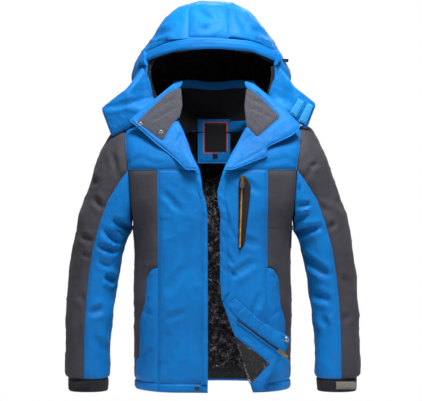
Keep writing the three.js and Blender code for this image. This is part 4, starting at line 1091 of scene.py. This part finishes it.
wingShape = {"right": -18, "left": -8, "x": 0.0992, "z": -0.0862, "edge": -34}
rightWing = [(-186, shoulder + 140), (-209, shoulder + 106), (-228, shoulder + 79), (-294, shoulder + 27),
             (-267, shoulder - 47), (-222, shoulder - 24), (-196, shoulder - 2), (-168, shoulder + 20),
             (-154, shoulder + 46), (-168, shoulder + 111)]
leftWing = [(178, shoulder + 140), (199, shoulder + 116), (214, shoulder + 88), (230, shoulder + 74),
            (274, shoulder + 39), (249, shoulder - 28), (224, shoulder - 7), (190, shoulder + 12),
            (146, shoulder + 56), (156, shoulder + 92)]
for name, outline in (("right", rightWing), ("left", leftWing)):
    def wingSkin(x, z, lift=0.0, level=wingShape[name]):
        flat = level + wingShape["x"] * np.abs(x) + wingShape["z"] * z
        flat = flat - 4.5 * np.exp(-((z - shoulder - 30) / 60) ** 2)
        high = smoothStep(z, shoulder + 64, shoulder + 132)
        inner = (1 - smoothStep(np.abs(x), 176, 226)) * smoothStep(z, shoulder + 16, shoulder + 60)
        return flat + (wingShape["edge"] - flat) * np.maximum(high, inner) - lift
    wingFolds = [((outline[3][0], outline[3][1]), (outline[7][0], outline[7][1] + 30), 7,
                  2.0)] if name == "right" else []
    obj = sewnPanel("wing_cloth_" + name, softened(outline, 9), wingSkin, 5, blueShell, puff=3.0, width=5,
                    step=4, field=crumple(181, 1.4, 28, wingFolds, pucker=0.9))
    shells["wing" + name] = finish(obj, nodes=["hood_wing_" + name], bend=bend("hood"))
patches = {
    "inner": [(225, shoulder + 55), (242, shoulder + 45), (220, shoulder + 4), (204, shoulder + 16)],
    "outer": [(251, shoulder + 43), (266, shoulder + 35), (246, shoulder - 14), (227, shoulder - 6)],
}
for name, outline in patches.items():
    obj = sewnPanel("patch_" + name, outline, lambda x, z: wingSkin(x, z, 2.6), 3.4, hookTape, puff=0.9,
                    width=2, step=3, field=crumple(185, 0.4, 12, pucker=0.2))
    finish(obj, nodes=["wing_patch_" + name], bend=bend("hood"))
print("hood made")

flapShape = {"back": -halfDepth - 0.2, "wall": 5}
flapSkin = lambda x, z: flapShape["back"] - flapShape["wall"] + 1.5 * np.sin((x + z) / 33)
zipLine = [(34, 225), (68, 186), (123, 143), (182, 101)]
flapOutline = [(24, 238), *zipLine, (120, 2), (97, 23), (146, 77), (58, 147)]
flapFolds = [((80, 150), (110, 120), 7, 1.6), ((150, 92), (120, 40), 7, 1.8)]
obj = sewnPanel("corner_facing", softened(flapOutline, 5), flapSkin, 3.6, blueShell, puff=2.2, width=4,
                step=4, field=crumple(191, 1.6, 32, flapFolds, pucker=1.0))
shells["corner"] = finish(obj, "corner_flap", ["flap_facing"])
furCorner = [(58, 147), (146, 77), (97, 23)]
corner = sewnPanel("corner_pile", furCorner, flapSkin, 3.6, fleeceBase, puff=2.0, step=4,
                   field=crumple(193, 1.6, 26))
finish(corner, "corner_flap", ["flap_fur"])
stormOutline = [(58, 248), (123, 188), (165, 163), (201, 144), (191, 116), (182, 101), (123, 143), (68, 186),
                (34, 225)]
stormFolds = [((78, 226), (62, 200), 4, 1.5), ((104, 204), (88, 172), 4, 1.5),
              ((130, 184), (116, 152), 4, 1.5),
              ((156, 166), (146, 134), 4, 1.5), ((182, 152), (172, 116), 4, 1.3)]
obj = sewnPanel("storm_cloth", softened(stormOutline, 8), lambda x, z: flapSkin(x, z) - 1.0, 4, blueShell,
                puff=2.6, width=4, step=4, field=crumple(195, 1.3, 28, stormFolds, pucker=1.4))
shells["storm"] = finish(obj, "corner_flap", ["storm_flap"])

weltOutline = [(66, yoke - 30), (78, yoke - 12), (90, yoke - 24), (99, yoke - 42), (95, yoke - 84),
               (82, yoke - 192), (70, yoke - 209), (66, yoke - 200)]
weltSkin = lambda x, z: np.minimum(torsoSkin(3.2)(x, z), -halfDepth - 1.2)
obj = sewnPanel("chest_welt_cloth", softened(weltOutline, 8), weltSkin, 8, blackTwill, puff=1.8, width=3,
                step=3, field=crumple(197, 0.5, 20, pucker=0.4))
shells["welt"] = finish(obj, "front_left", ["chest_welt"])

labelFrame = [(-25, yoke + 49), (41, yoke + 49), (41, yoke + 134), (-25, yoke + 134)]
labelFlat = lambda lift: lambda x, z: neckSkin(x, z) - lift
edge = sewnPanel("label_edge", labelFrame, labelFlat(0.8), 0.8, labelEdge, puff=0.3, width=1, step=4)
shells["labeledge"] = finish(edge, "jacket_body")
labelFace = [(-21.5, yoke + 52.5), (37.5, yoke + 52.5), (37.5, yoke + 130.5), (-21.5, yoke + 130.5)]
obj = sewnPanel("label_cloth", labelFace, labelFlat(1.6), 0.6, labelCloth, puff=0.3, width=1, step=4,
                field=crumple(199, 0.3, 16, pucker=0.1))
finish(obj, "jacket_body", ["neck_label"])
sizeTag = [(0, yoke + 34), (14, yoke + 34), (14, yoke + 48), (0, yoke + 48)]
obj = sewnPanel("size_tag", sizeTag, labelFlat(1.2), 0.6, labelCloth, puff=0.3, width=1, step=3)
finish(obj, "jacket_body")

# Hang loop: a flat braid bent up from the collar seam.
loopShape = {"x": 4, "base": shoulder + 14, "half": 26, "height": 13, "width": 4, "wall": 2.4, "front": 80.4}
steps = np.linspace(0, 1, 33)
arch = []
for t in steps:
    swing = math.pi * t
    arch.append((loopShape["x"] - loopShape["half"] * np.sign(math.cos(swing)) * abs(math.cos(swing)) ** 0.35,
                 loopShape["base"] + loopShape["height"] * math.sin(swing) ** 0.35))
arch = np.array(arch)
grid = []
for around in np.linspace(0, 2 * math.pi, 13)[:-1]:
    tangent = unit(np.gradient(arch, axis=0))
    sideways = np.stack([-tangent[:, 1], tangent[:, 0]], axis=1)
    ring = arch + sideways * (loopShape["width"] / 2 * math.cos(around))
    braidDepth = loopShape["front"] + loopShape["wall"] / 2 * math.sin(around)
    grid.append(np.stack([ring[:, 0], np.full(33, braidDepth), ring[:, 1]], axis=-1))
grid = np.array(grid)
vertices = grid.transpose(1, 0, 2).reshape(-1, 3)
faces = [(r * 12 + c, r * 12 + (c + 1) % 12, (r + 1) * 12 + (c + 1) % 12, (r + 1) * 12 + c)
         for r in range(32) for c in range(12)]
faces += [tuple(range(12))[::-1], tuple(32 * 12 + i for i in range(12))]
loop = makeObject("loop_braid", vertices, faces, blackTwill)
facesOutward(loop)
finish(loop, "jacket_body", ["hang_loop"])

for name, side in (("right", -1), ("left", 1)):
    strapFront = -69.8
    outline = [(side * 321, 1), (side * 321, 21), (side * 377, 21), (side * 377, 1)]
    skin = lambda x, z: strapFront + 0.4 + 0.0016 * (np.abs(x) - 321) ** 1.6
    obj = sewnPanel("strap_cloth_" + name, softened(outline, 5), skin, 2.0,
                    strapTip if side > 0 else blackTwill,
                    puff=1.2, width=2, step=3, field=crumple(201, 0.5, 14, pucker=0.3))
    shells["strap" + name] = finish(obj, "cuff_strap_" + name, ["cuff_strap_" + name])
print("corner, welt, label, loop and straps made")


def turned(name, profile, centre, tilt, material, segments=28):
    vertices, faces = [], []
    cos, sin = math.cos(tilt), math.sin(tilt)
    for radius, height in profile:
        for i in range(segments):
            angle = 2 * math.pi * i / segments
            x, up, out = radius * math.cos(angle), radius * math.sin(angle), -height
            vertices.append((centre[0] + x, centre[1] + out * cos + up * sin,
                             centre[2] + up * cos - out * sin))
    for r in range(len(profile) - 1):
        for i in range(segments):
            n = (i + 1) % segments
            faces.append((r * segments + i, r * segments + n, (r + 1) * segments + n, (r + 1) * segments + i))
    faces.append(tuple(range(segments))[::-1])
    faces.append(tuple((len(profile) - 1) * segments + i for i in range(segments)))
    obj = makeObject(name, vertices, faces, material)
    facesOutward(obj)
    return obj


snapProfile = [(6.3, 0), (6.5, 0.9), (6.2, 1.9), (5.2, 2.4), (4.6, 2.1), (4.2, 2.0), (3.2, 2.6), (1.4, 3.0),
               (0.3, 3.05)]
lapelTilt = math.atan(lapelPlane["z"])
for name, x, z in (("upper", -188, yoke + 120), ("lower", -134, yoke + 98)):
    y = float(lapelSkin(0.4)(np.array([float(x)]), np.array([float(z)]))[0])
    obj = turned("snap_" + name, snapProfile, (x, y, z), -lapelTilt, steel)
    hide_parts("collar_snap_" + name)
    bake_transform(obj)
hemSnapY = float(torsoSkin(0)(np.array([-40.0]), np.array([11.0]))[0])
obj = turned("snap_hem", snapProfile, (-40, hemSnapY, 11), 0, blackPlastic)
finish(obj, "front_right", ["hem_snap"])
obj = turned("snap_flap", snapProfile, (190, flapShape["back"] - 8.2, 139), 0, steel)
finish(obj, "corner_flap", ["flap_snap"])


def newTree(name, floats):
    tree = bpy.data.node_groups.new(name, "GeometryNodeTree")
    tree.interface.new_socket("Geometry", in_out="INPUT", socket_type="NodeSocketGeometry")
    for label in floats:
        tree.interface.new_socket(label, in_out="INPUT", socket_type="NodeSocketFloat")
    tree.interface.new_socket("Geometry", in_out="OUTPUT", socket_type="NodeSocketGeometry")
    return tree, addNode(tree, "NodeGroupInput").outputs, addNode(tree, "NodeGroupOutput")


def closeTree(tree, result, material, ending):
    real = addNode(tree, "GeometryNodeRealizeInstances", {0: result})
    painted = addNode(tree, "GeometryNodeSetMaterial", {"Geometry": real.outputs[0], "Material": material})
    tree.links.new(painted.outputs[0], ending.inputs[0])


# One bead of thread or one zip tooth at each step of a line.
def rowTree(name, material, sides, rings):
    tree, given, ending = newTree(name, ["Pitch", "Half Length", "Half Width"])
    curve = addNode(tree, "GeometryNodeMeshToCurve", {"Mesh": given["Geometry"]})
    points = addNode(tree, "GeometryNodeResampleCurve", {"Curve": curve.outputs[0], "Length": given["Pitch"]},
                     mode="LENGTH")
    bead = addNode(tree, "GeometryNodeMeshUVSphere", {"Segments": sides, "Rings": rings, "Radius": 1.0})
    size = addNode(tree, "ShaderNodeCombineXYZ", {0: given["Half Width"], 1: given["Half Width"],
                                                  2: given["Half Length"]})
    shaped = addNode(tree, "GeometryNodeTransform", {"Geometry": bead.outputs[0], "Scale": size.outputs[0]})
    tangent = addNode(tree, "GeometryNodeInputTangent")
    turn = addNode(tree, "FunctionNodeAlignRotationToVector", {"Vector": tangent.outputs[0]}, axis="Z")
    placed = addNode(tree, "GeometryNodeInstanceOnPoints", {
        "Points": points.outputs[0], "Instance": shaped.outputs[0], "Rotation": turn.outputs[0]})
    closeTree(tree, placed.outputs[0], material, ending)
    return tree


# Tufts of pile scattered over a surface, leaning at random.
def pileTree(name, material, seed):
    tree, given, ending = newTree(name, ["Density", "Tuft Length", "Tuft Width"])
    points = addNode(tree, "GeometryNodeDistributePointsOnFaces", {
        "Mesh": given["Geometry"], "Density": given["Density"], "Seed": seed})
    tuft = addNode(tree, "GeometryNodeMeshCone", {"Vertices": 5, "Radius Top": 0.0, "Radius Bottom": 1.0,
                                                  "Depth": 1.0})
    size = addNode(tree, "ShaderNodeCombineXYZ", {0: given["Tuft Width"], 1: given["Tuft Width"],
                                                  2: given["Tuft Length"]})
    shaped = addNode(tree, "GeometryNodeTransform", {"Geometry": tuft.outputs[0], "Scale": size.outputs[0]})
    lean = addNode(tree, "FunctionNodeRandomValue",
                   {0: (-0.75, -0.75, -3.0), 1: (0.75, 0.75, 3.0), "Seed": seed}, data_type="FLOAT_VECTOR")
    turn = addNode(tree, "FunctionNodeRotateEuler", {0: points.outputs["Rotation"], 1: lean.outputs[0]},
                   space="LOCAL")
    placed = addNode(tree, "GeometryNodeInstanceOnPoints", {
        "Points": points.outputs[0], "Instance": shaped.outputs[0], "Rotation": turn.outputs[0]})
    closeTree(tree, placed.outputs[0], material, ending)
    return tree


def grown(name, mesh, tree, inputs):
    carrier = bpy.data.objects.new(name + "Carrier", mesh)
    bpy.context.scene.collection.objects.link(carrier)
    modifier = carrier.modifiers.new("repeat", "NODES")
    modifier.node_group = tree
    for socket in tree.interface.items_tree:
        if socket.in_out == "INPUT" and socket.name in inputs:
            modifier[socket.identifier] = inputs[socket.name]
    bpy.context.view_layer.update()
    made = bpy.data.meshes.new_from_object(carrier.evaluated_get(bpy.context.evaluated_depsgraph_get()))
    bpy.data.objects.remove(carrier)
    obj = bpy.data.objects.new(name, made)
    bpy.context.scene.collection.objects.link(obj)
    made.shade_smooth()
    return obj


# A path near a piece is dropped onto its surface, so that thread lies on the cloth.
def laidOn(obj, path, lift=0.25, step=3.0):
    points = []
    for a, b in zip(path[:-1], path[1:]):
        count = max(1, int(math.dist(a, b) / step))
        points += [tuple(a[i] + (b[i] - a[i]) * k / count for i in range(3)) for k in range(count)]
    points.append(tuple(path[-1]))
    placed = []
    for p in points:
        target = Vector(tuple(toFrame([p])[0]))
        hit, spot, normal, _ = obj.closest_point_on_mesh(target)
        if hit:
            placed.append(spot + normal * lift * mm)
    return placed


def lineMesh(name, paths):
    mesh = bpy.data.meshes.new(name)
    vertices, edges = [], []
    for path in paths:
        base = len(vertices)
        vertices += [tuple(p) for p in path]
        edges += [(base + i, base + i + 1) for i in range(len(path) - 1)]
    mesh.from_pydata(vertices, edges, [])
    return mesh


blueStitch = rowTree("blueStitchRow", blueThread, 6, 4)
greyStitch = rowTree("greyStitchRow", greyThread, 6, 4)
coilTooth = rowTree("goldToothRow", goldTape, 8, 5)
darkTooth = rowTree("darkToothRow", blackPlastic, 8, 5)
stitchShape = {"Pitch": 4.2 * mm, "Half Length": 1.35 * mm, "Half Width": 0.38 * mm}


def frontPath(points, skin=None, lift=5.0):
    skin = skin or torsoSkin()
    x = np.array([float(p[0]) for p in points])
    z = np.array([float(p[1]) for p in points])
    y = skin(x, z) - lift
    return [tuple(p) for p in np.stack([x, y, z], axis=1)]


def insetLine(outline, distance, closed=True):
    points = []
    total = len(outline)
    following = [outline[(i + 1) % total] for i in range(total)]
    area = sum(a[0] * b[1] - b[0] * a[1] for a, b in zip(outline, following))
    turn = 1 if area > 0 else -1
    for i in range(total):
        a, p, b = outline[i - 1], outline[i], outline[(i + 1) % total]
        arriving = Vector((p[0] - a[0], p[1] - a[1])).normalized()
        leaving = Vector((b[0] - p[0], b[1] - p[1])).normalized()
        firstNormal = Vector((-arriving.y, arriving.x)) * turn
        secondNormal = Vector((-leaving.y, leaving.x)) * turn
        scale = distance / max(1 + firstNormal.dot(secondNormal), 0.5)
        points.append((p[0] + (firstNormal.x + secondNormal.x) * scale,
                       p[1] + (firstNormal.y + secondNormal.y) * scale))
    return points + points[:1] if closed else points


# Rows on a yoke or lapel go into an object of their own, apart from the rows on the panel below.
def stitchRows(name, tree, kind, jobs, body=None):
    upper = [job for job in jobs if job[0].startswith(("yoke", "lapel"))]
    if not body and kind.startswith("front_") and upper:
        stitchRows(name + "_upper", tree, kind.replace("front_", "yoke_"), upper)
        jobs = [job for job in jobs if not job[0].startswith(("yoke", "lapel"))]
        if not jobs:
            return None
    paths = [laidOn(shells[key], path) for key, path in jobs]
    obj = grown(name, lineMesh(name + "Line", paths), tree, stitchShape)
    if body:
        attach(obj, body)
    else:
        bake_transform(obj)
    return obj


def sleevePath(side, phiOf, lowZ, highZ):
    return [tuple(sleeveAt(side, np.array(phiOf(z)), np.array(float(z)), 3.0))
            for z in np.arange(lowZ, highZ, 8)]


for name, side, lapel, facing, wing in (("right", -1, rightLapel, rightFacing, rightWing),
                                        ("left", 1, leftLapel, leftFacing, leftWing)):
    jobs = [("panel" + name, frontPath([(side * 137, 26), (side * 137, yoke - 4)])),
            ("panel" + name, frontPath([(side * 140, yoke - 8), (side * (58 if side < 0 else 40),
                    yoke - 8)])),
            ("yoke" + name, frontPath([(side * 216, yoke + 8), (side * 46, yoke + 8)]))]
    skin = lapelSkin(0)
    jobs += [("lapel" + name, frontPath(insetLine(lapel, 5), skin))]
    if side > 0:
        jobs += [("edge", frontPath([(24, 270), (24, 330), (24, 400), (25, 450), (20, 490), (18, 520),
                                     (26, 552)]))]
    if side < 0:
        jobs += [("placket", frontPath([(-23, 26), (-23, yoke - 76), (-34, yoke - 36), (-44, yoke - 18),
                                        (-56, yoke - 6)], torsoSkin(3.4))),
                 ("panel" + name, frontPath([(-36, 26), (-36, yoke - 80), (-52, yoke - 28)]))]
    stitchRows("thread_front_" + name, blueStitch, "front_" + name, jobs)
    # Sleeves: both sides of the colour seam, and two rows above the cuff.
    seamIn = lambda z: sleeveAngle(colourLine(z) - 8, z)
    seamOut = lambda z: sleeveAngle(colourLine(z) + 8, z)
    jobs = [("inner" + name, sleevePath(side, seamIn, 30, yoke - 30)),
            ("outer" + name, sleevePath(side, seamOut, 30, yoke - 30))]
    around = np.linspace(-math.pi, math.pi, 60)
    stitchRows("thread_sleeve_" + name, greyStitch, "arm_" + name, jobs)
    ring = [tuple(p) for p in sleeveAt(side, around, np.full(60, 20.0), 3.0)]
    lowerRing = [tuple(p) for p in sleeveAt(side, around, np.full(60, -3.0), 3.0)]
    stitchRows("thread_cuff_" + name, greyStitch, None, [("cuff" + name, ring), ("cuff" + name, lowerRing)],
               "arm_" + name)
    jobs = [("pocket" + name, [tuple(torsoAt(np.array(side * (sideStart(z) - 0.05)), np.array(float(z)), 4.0))
                               for z in np.arange(80, 300, 8)]),
            ("pocket" + name, [tuple(torsoAt(np.array(side * (abs(float(angleAt(side * gap, z))) + 0.05)),
                                             np.array(float(z)), 4.0))
                               for z in np.arange(30, 312, 8)])]
    stitchRows("thread_pocket_" + name, blueStitch, None, jobs, "jacket_body")
    jobs = [("wing" + name, frontPath(insetLine(wing, 5), lambda x, z: wingSkin(x, z, 4.0, wingShape[name])))]
    seam = hoodShape["seams"][0 if side < 0 else 1]
    jobs += [("hood" + name, [tuple(hoodAt(np.array(side * abs(hoodAngleX(seam + side * 8, z))),
                                           np.array(float(z)), 4.0))
                              for z in np.arange(brimTop + 6, shoulder + 300, 7)]),
             ("hood" + name, [tuple(hoodAt(np.array(side * (math.pi - abs(hoodAngleX(seam + side * 8, z)))),
                                           np.array(float(z)), 4.0))
                              for z in np.arange(shoulder + 8, shoulder + 300, 7)])]
    stitchRows("thread_hood_" + name, blueStitch, "hood", jobs)
jobs = [("brim", [tuple(p) for p in hoodAt(lines[0][0] * (1 - t) + lines[1][0] * t,
                                           lines[0][1] * (1 - t) + lines[1][1] * t, 4.0)])
        for t in (0.2, 0.5, 0.8)]
stitchRows("thread_brim", blueStitch, "hood", jobs)
jobs = [("back", [(x, 160, yoke - 8) for x in range(-150, 151, 10)]),
        ("yokeback", [(x, 160, yoke + 8) for x in range(-205, 206, 10)]),
        ("back", [(-152, 150, z) for z in range(30, 570, 10)]),
        ("back", [(152, 150, z) for z in range(30, 570, 10)]),
        ("back", [(x, 160, 30) for x in range(-150, 151, 10)]),
        ("neck", [(p[0], 70, p[1]) for p in insetLine(neckOutline, 5)]),
        ("labeledge", [(p[0], 70, p[1]) for p in insetLine(labelFrame, 1.8)])]
stitchRows("thread_body", blueStitch, None, jobs, "jacket_body")
jobs = [("corner", frontPath(insetLine(flapOutline, 6), flapSkin)),
        ("storm", frontPath(insetLine(stormOutline, 5), flapSkin))]
stitchRows("thread_corner", blueStitch, None, jobs, "corner_flap")
stitchRows("thread_welt", greyStitch, None, [("welt", frontPath(insetLine(weltOutline, 3.5), weltSkin))],
           "front_left")
print("stitches made")


# Zips: a woven tape with a row of teeth either side of its middle.
def zipChain(name, start, angle, length, y, half, tape, tree, body, node):
    c, s = math.cos(math.radians(angle)), math.sin(math.radians(angle))
    at = lambda along, across: (start[0] + c * along - s * across, start[1] + s * along + c * across)
    outline = [at(0, -half), at(length, -half), at(length, half), at(0, half)]
    base = sewnPanel(name + "_tape", outline, lambda x, z: np.full_like(x, y - 1.4), 1.2, tape, puff=0.3,
                     width=1, step=3)
    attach(base, body)
    rows = [[tuple(toFrame([(*at(a, off)[:1], y - 2.1, at(a, off)[1])])[0]) for a in np.arange(1, length - 1,
            4)]
            for off in (-0.3 * half, 0.3 * half)]
    teeth = grown(name + "_teeth", lineMesh(name + "Line", rows), tree,
                  {"Pitch": 1.9 * mm, "Half Length": 0.75 * mm, "Half Width": 0.35 * half * mm})
    finish(teeth, body, [node])


zipChain("chest_zip_chain", (76, yoke - 30), -92, 172, -halfDepth - 1.9, 3, blackTwill, coilTooth,
         "front_left", "chest_zip")
zipChain("main_zip_chain", (62, 190), -36, 146, flapShape["back"] - 6.5, 1.9, blackTwill, darkTooth,
         "corner_flap", "main_zip")

# Longer tufts stand over the pile where it faces out.
tuftTree = pileTree("pileTufts", fleeceTip, 7)
tuftBase = bpy.data.meshes.new("cornerTufts")
x, z = np.array([p[0] for p in furCorner], float), np.array([p[1] for p in furCorner], float)
y = flapSkin(x, z) + 1.5
tuftBase.from_pydata([tuple(v) for v in toFrame(np.stack([x, y, z], axis=1))], [], [(0, 1, 2)])
obj = grown("corner_tufts", tuftBase, tuftTree,
            {"Density": 200000.0, "Tuft Length": 13 * mm, "Tuft Width": 1.6 * mm})
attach(obj, "corner_flap")
backTufts = bpy.data.meshes.new("backTufts")
grid = spanGrid(rowsOf(40, 600, 20), lambda z: -120.0, lambda z: 120.0, 20,
                lambda x, z: np.stack([x, torsoSkin(inside - 7, True)(x, z), z], axis=-1))
n = grid.shape[1]
faces = [(r * n + c, r * n + c + 1, (r + 1) * n + c + 1, (r + 1) * n + c)
         for r in range(grid.shape[0] - 1) for c in range(n - 1)]
backTufts.from_pydata([tuple(v) for v in toFrame(grid.reshape(-1, 3))], [], faces)
obj = grown("back_tufts", backTufts, tuftTree,
            {"Density": 80000.0, "Tuft Length": 13 * mm, "Tuft Width": 1.4 * mm})
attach(obj, "jacket_body")
print("zips and pile made")

# Sliders, pulls and the cord stop keep their shape and get their finish.
for name, material in (("chest_slider", steel), ("main_slider", steel), ("chest_pull", goldMetal),
                       ("main_pull", goldMetal), ("hood_cord_stop", blackPlastic)):
    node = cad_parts[name]
    node.data.materials.clear()
    node.data.materials.append(material)

studio = {"world": 0.17, "key": 8.0, "top": 84.0, "fill": 3.0, "back": 50.0}


def plainMaterial(name, colour, roughness):
    material, tree, shader, place = startMaterial(name)
    tone = blendColour(tree, spread(tree, place, 3, 2), linear(colour), linear("#FFFFFF"))
    tree.links.new(tone, shader.inputs["Base Color"])
    shader.inputs["Roughness"].default_value = roughness
    return material


floor = bpy.data.meshes.new("studioFloor")
floorShape = {"side": 1.8, "near": -1.4, "far": 1.0, "level": -1.0}
floorCorners = [(-1, "near"), (1, "near"), (1, "far"), (-1, "far")]
floor.from_pydata([(floorShape["side"] * edge, floorShape[end], floorShape["level"]) for edge,
                   end in floorCorners],
                  [], [(0, 1, 2, 3)])
floor.materials.append(plainMaterial("studio_paper", "#FBFBFB", 0.9))
floorObject = bpy.data.objects.new("studio_floor", floor)
bpy.context.scene.collection.objects.link(floorObject)
floor.shade_smooth()


def areaLight(name, spot, aim, size, power):
    data = bpy.data.lights.new(name, "AREA")
    data.shape = "SQUARE"
    data.size = size
    data.energy = power
    lamp = bpy.data.objects.new(name, data)
    lamp.location = spot
    lamp.rotation_euler = (Vector(aim) - Vector(spot)).to_track_quat("-Z", "Y").to_euler()
    bpy.context.scene.collection.objects.link(lamp)


areaLight("keyLight", (-1.3, -1.9, 1.0), (0, 0, -0.3), 0.8, studio["key"])
areaLight("topLight", (0.2, -1.05, 1.55), (0, 0, -0.2), 0.7, studio["top"])
areaLight("fillLight", (2.0, -1.5, 0.0), (0, 0, -0.3), 1.4, studio["fill"])
areaLight("backLight", (0.4, 2.2, 1.2), (0, 0, -0.2), 1.6, studio["back"])
world = bpy.data.worlds.new("studioWorld")
world.use_nodes = True
worldTree = world.node_tree
ambient = worldTree.nodes["Background"]
ambient.inputs["Color"].default_value = (1, 1, 1, 1)
ambient.inputs["Strength"].default_value = studio["world"]
paper = addNode(worldTree, "ShaderNodeBackground", {"Color": (1, 1, 1, 1), "Strength": 1.0})
path = addNode(worldTree, "ShaderNodeLightPath")
seen = addNode(worldTree, "ShaderNodeMixShader",
               {0: path.outputs["Is Camera Ray"], 1: ambient.outputs[0], 2: paper.outputs[0]})
worldTree.links.new(seen.outputs[0], worldTree.nodes["World Output"].inputs["Surface"])
bpy.context.scene.world = world
bpy.context.scene.view_settings.view_transform = "Standard"

cameraShape = {"lens": 135, "sensor": 36, "aim": (-4.2, -110, 496.6), "distance": 4.114}
cameraData = bpy.data.cameras.new("frontView")
cameraData.lens = cameraShape["lens"]
cameraData.sensor_width = cameraShape["sensor"]
camera = bpy.data.objects.new("frontView", cameraData)
middle = toFrame([cameraShape["aim"]])[0]
camera.location = (middle[0], middle[1] - cameraShape["distance"], middle[2])
camera.rotation_euler = (math.pi / 2, 0, 0)
bpy.context.scene.collection.objects.link(camera)
bpy.context.scene.camera = camera

print("scene complete")
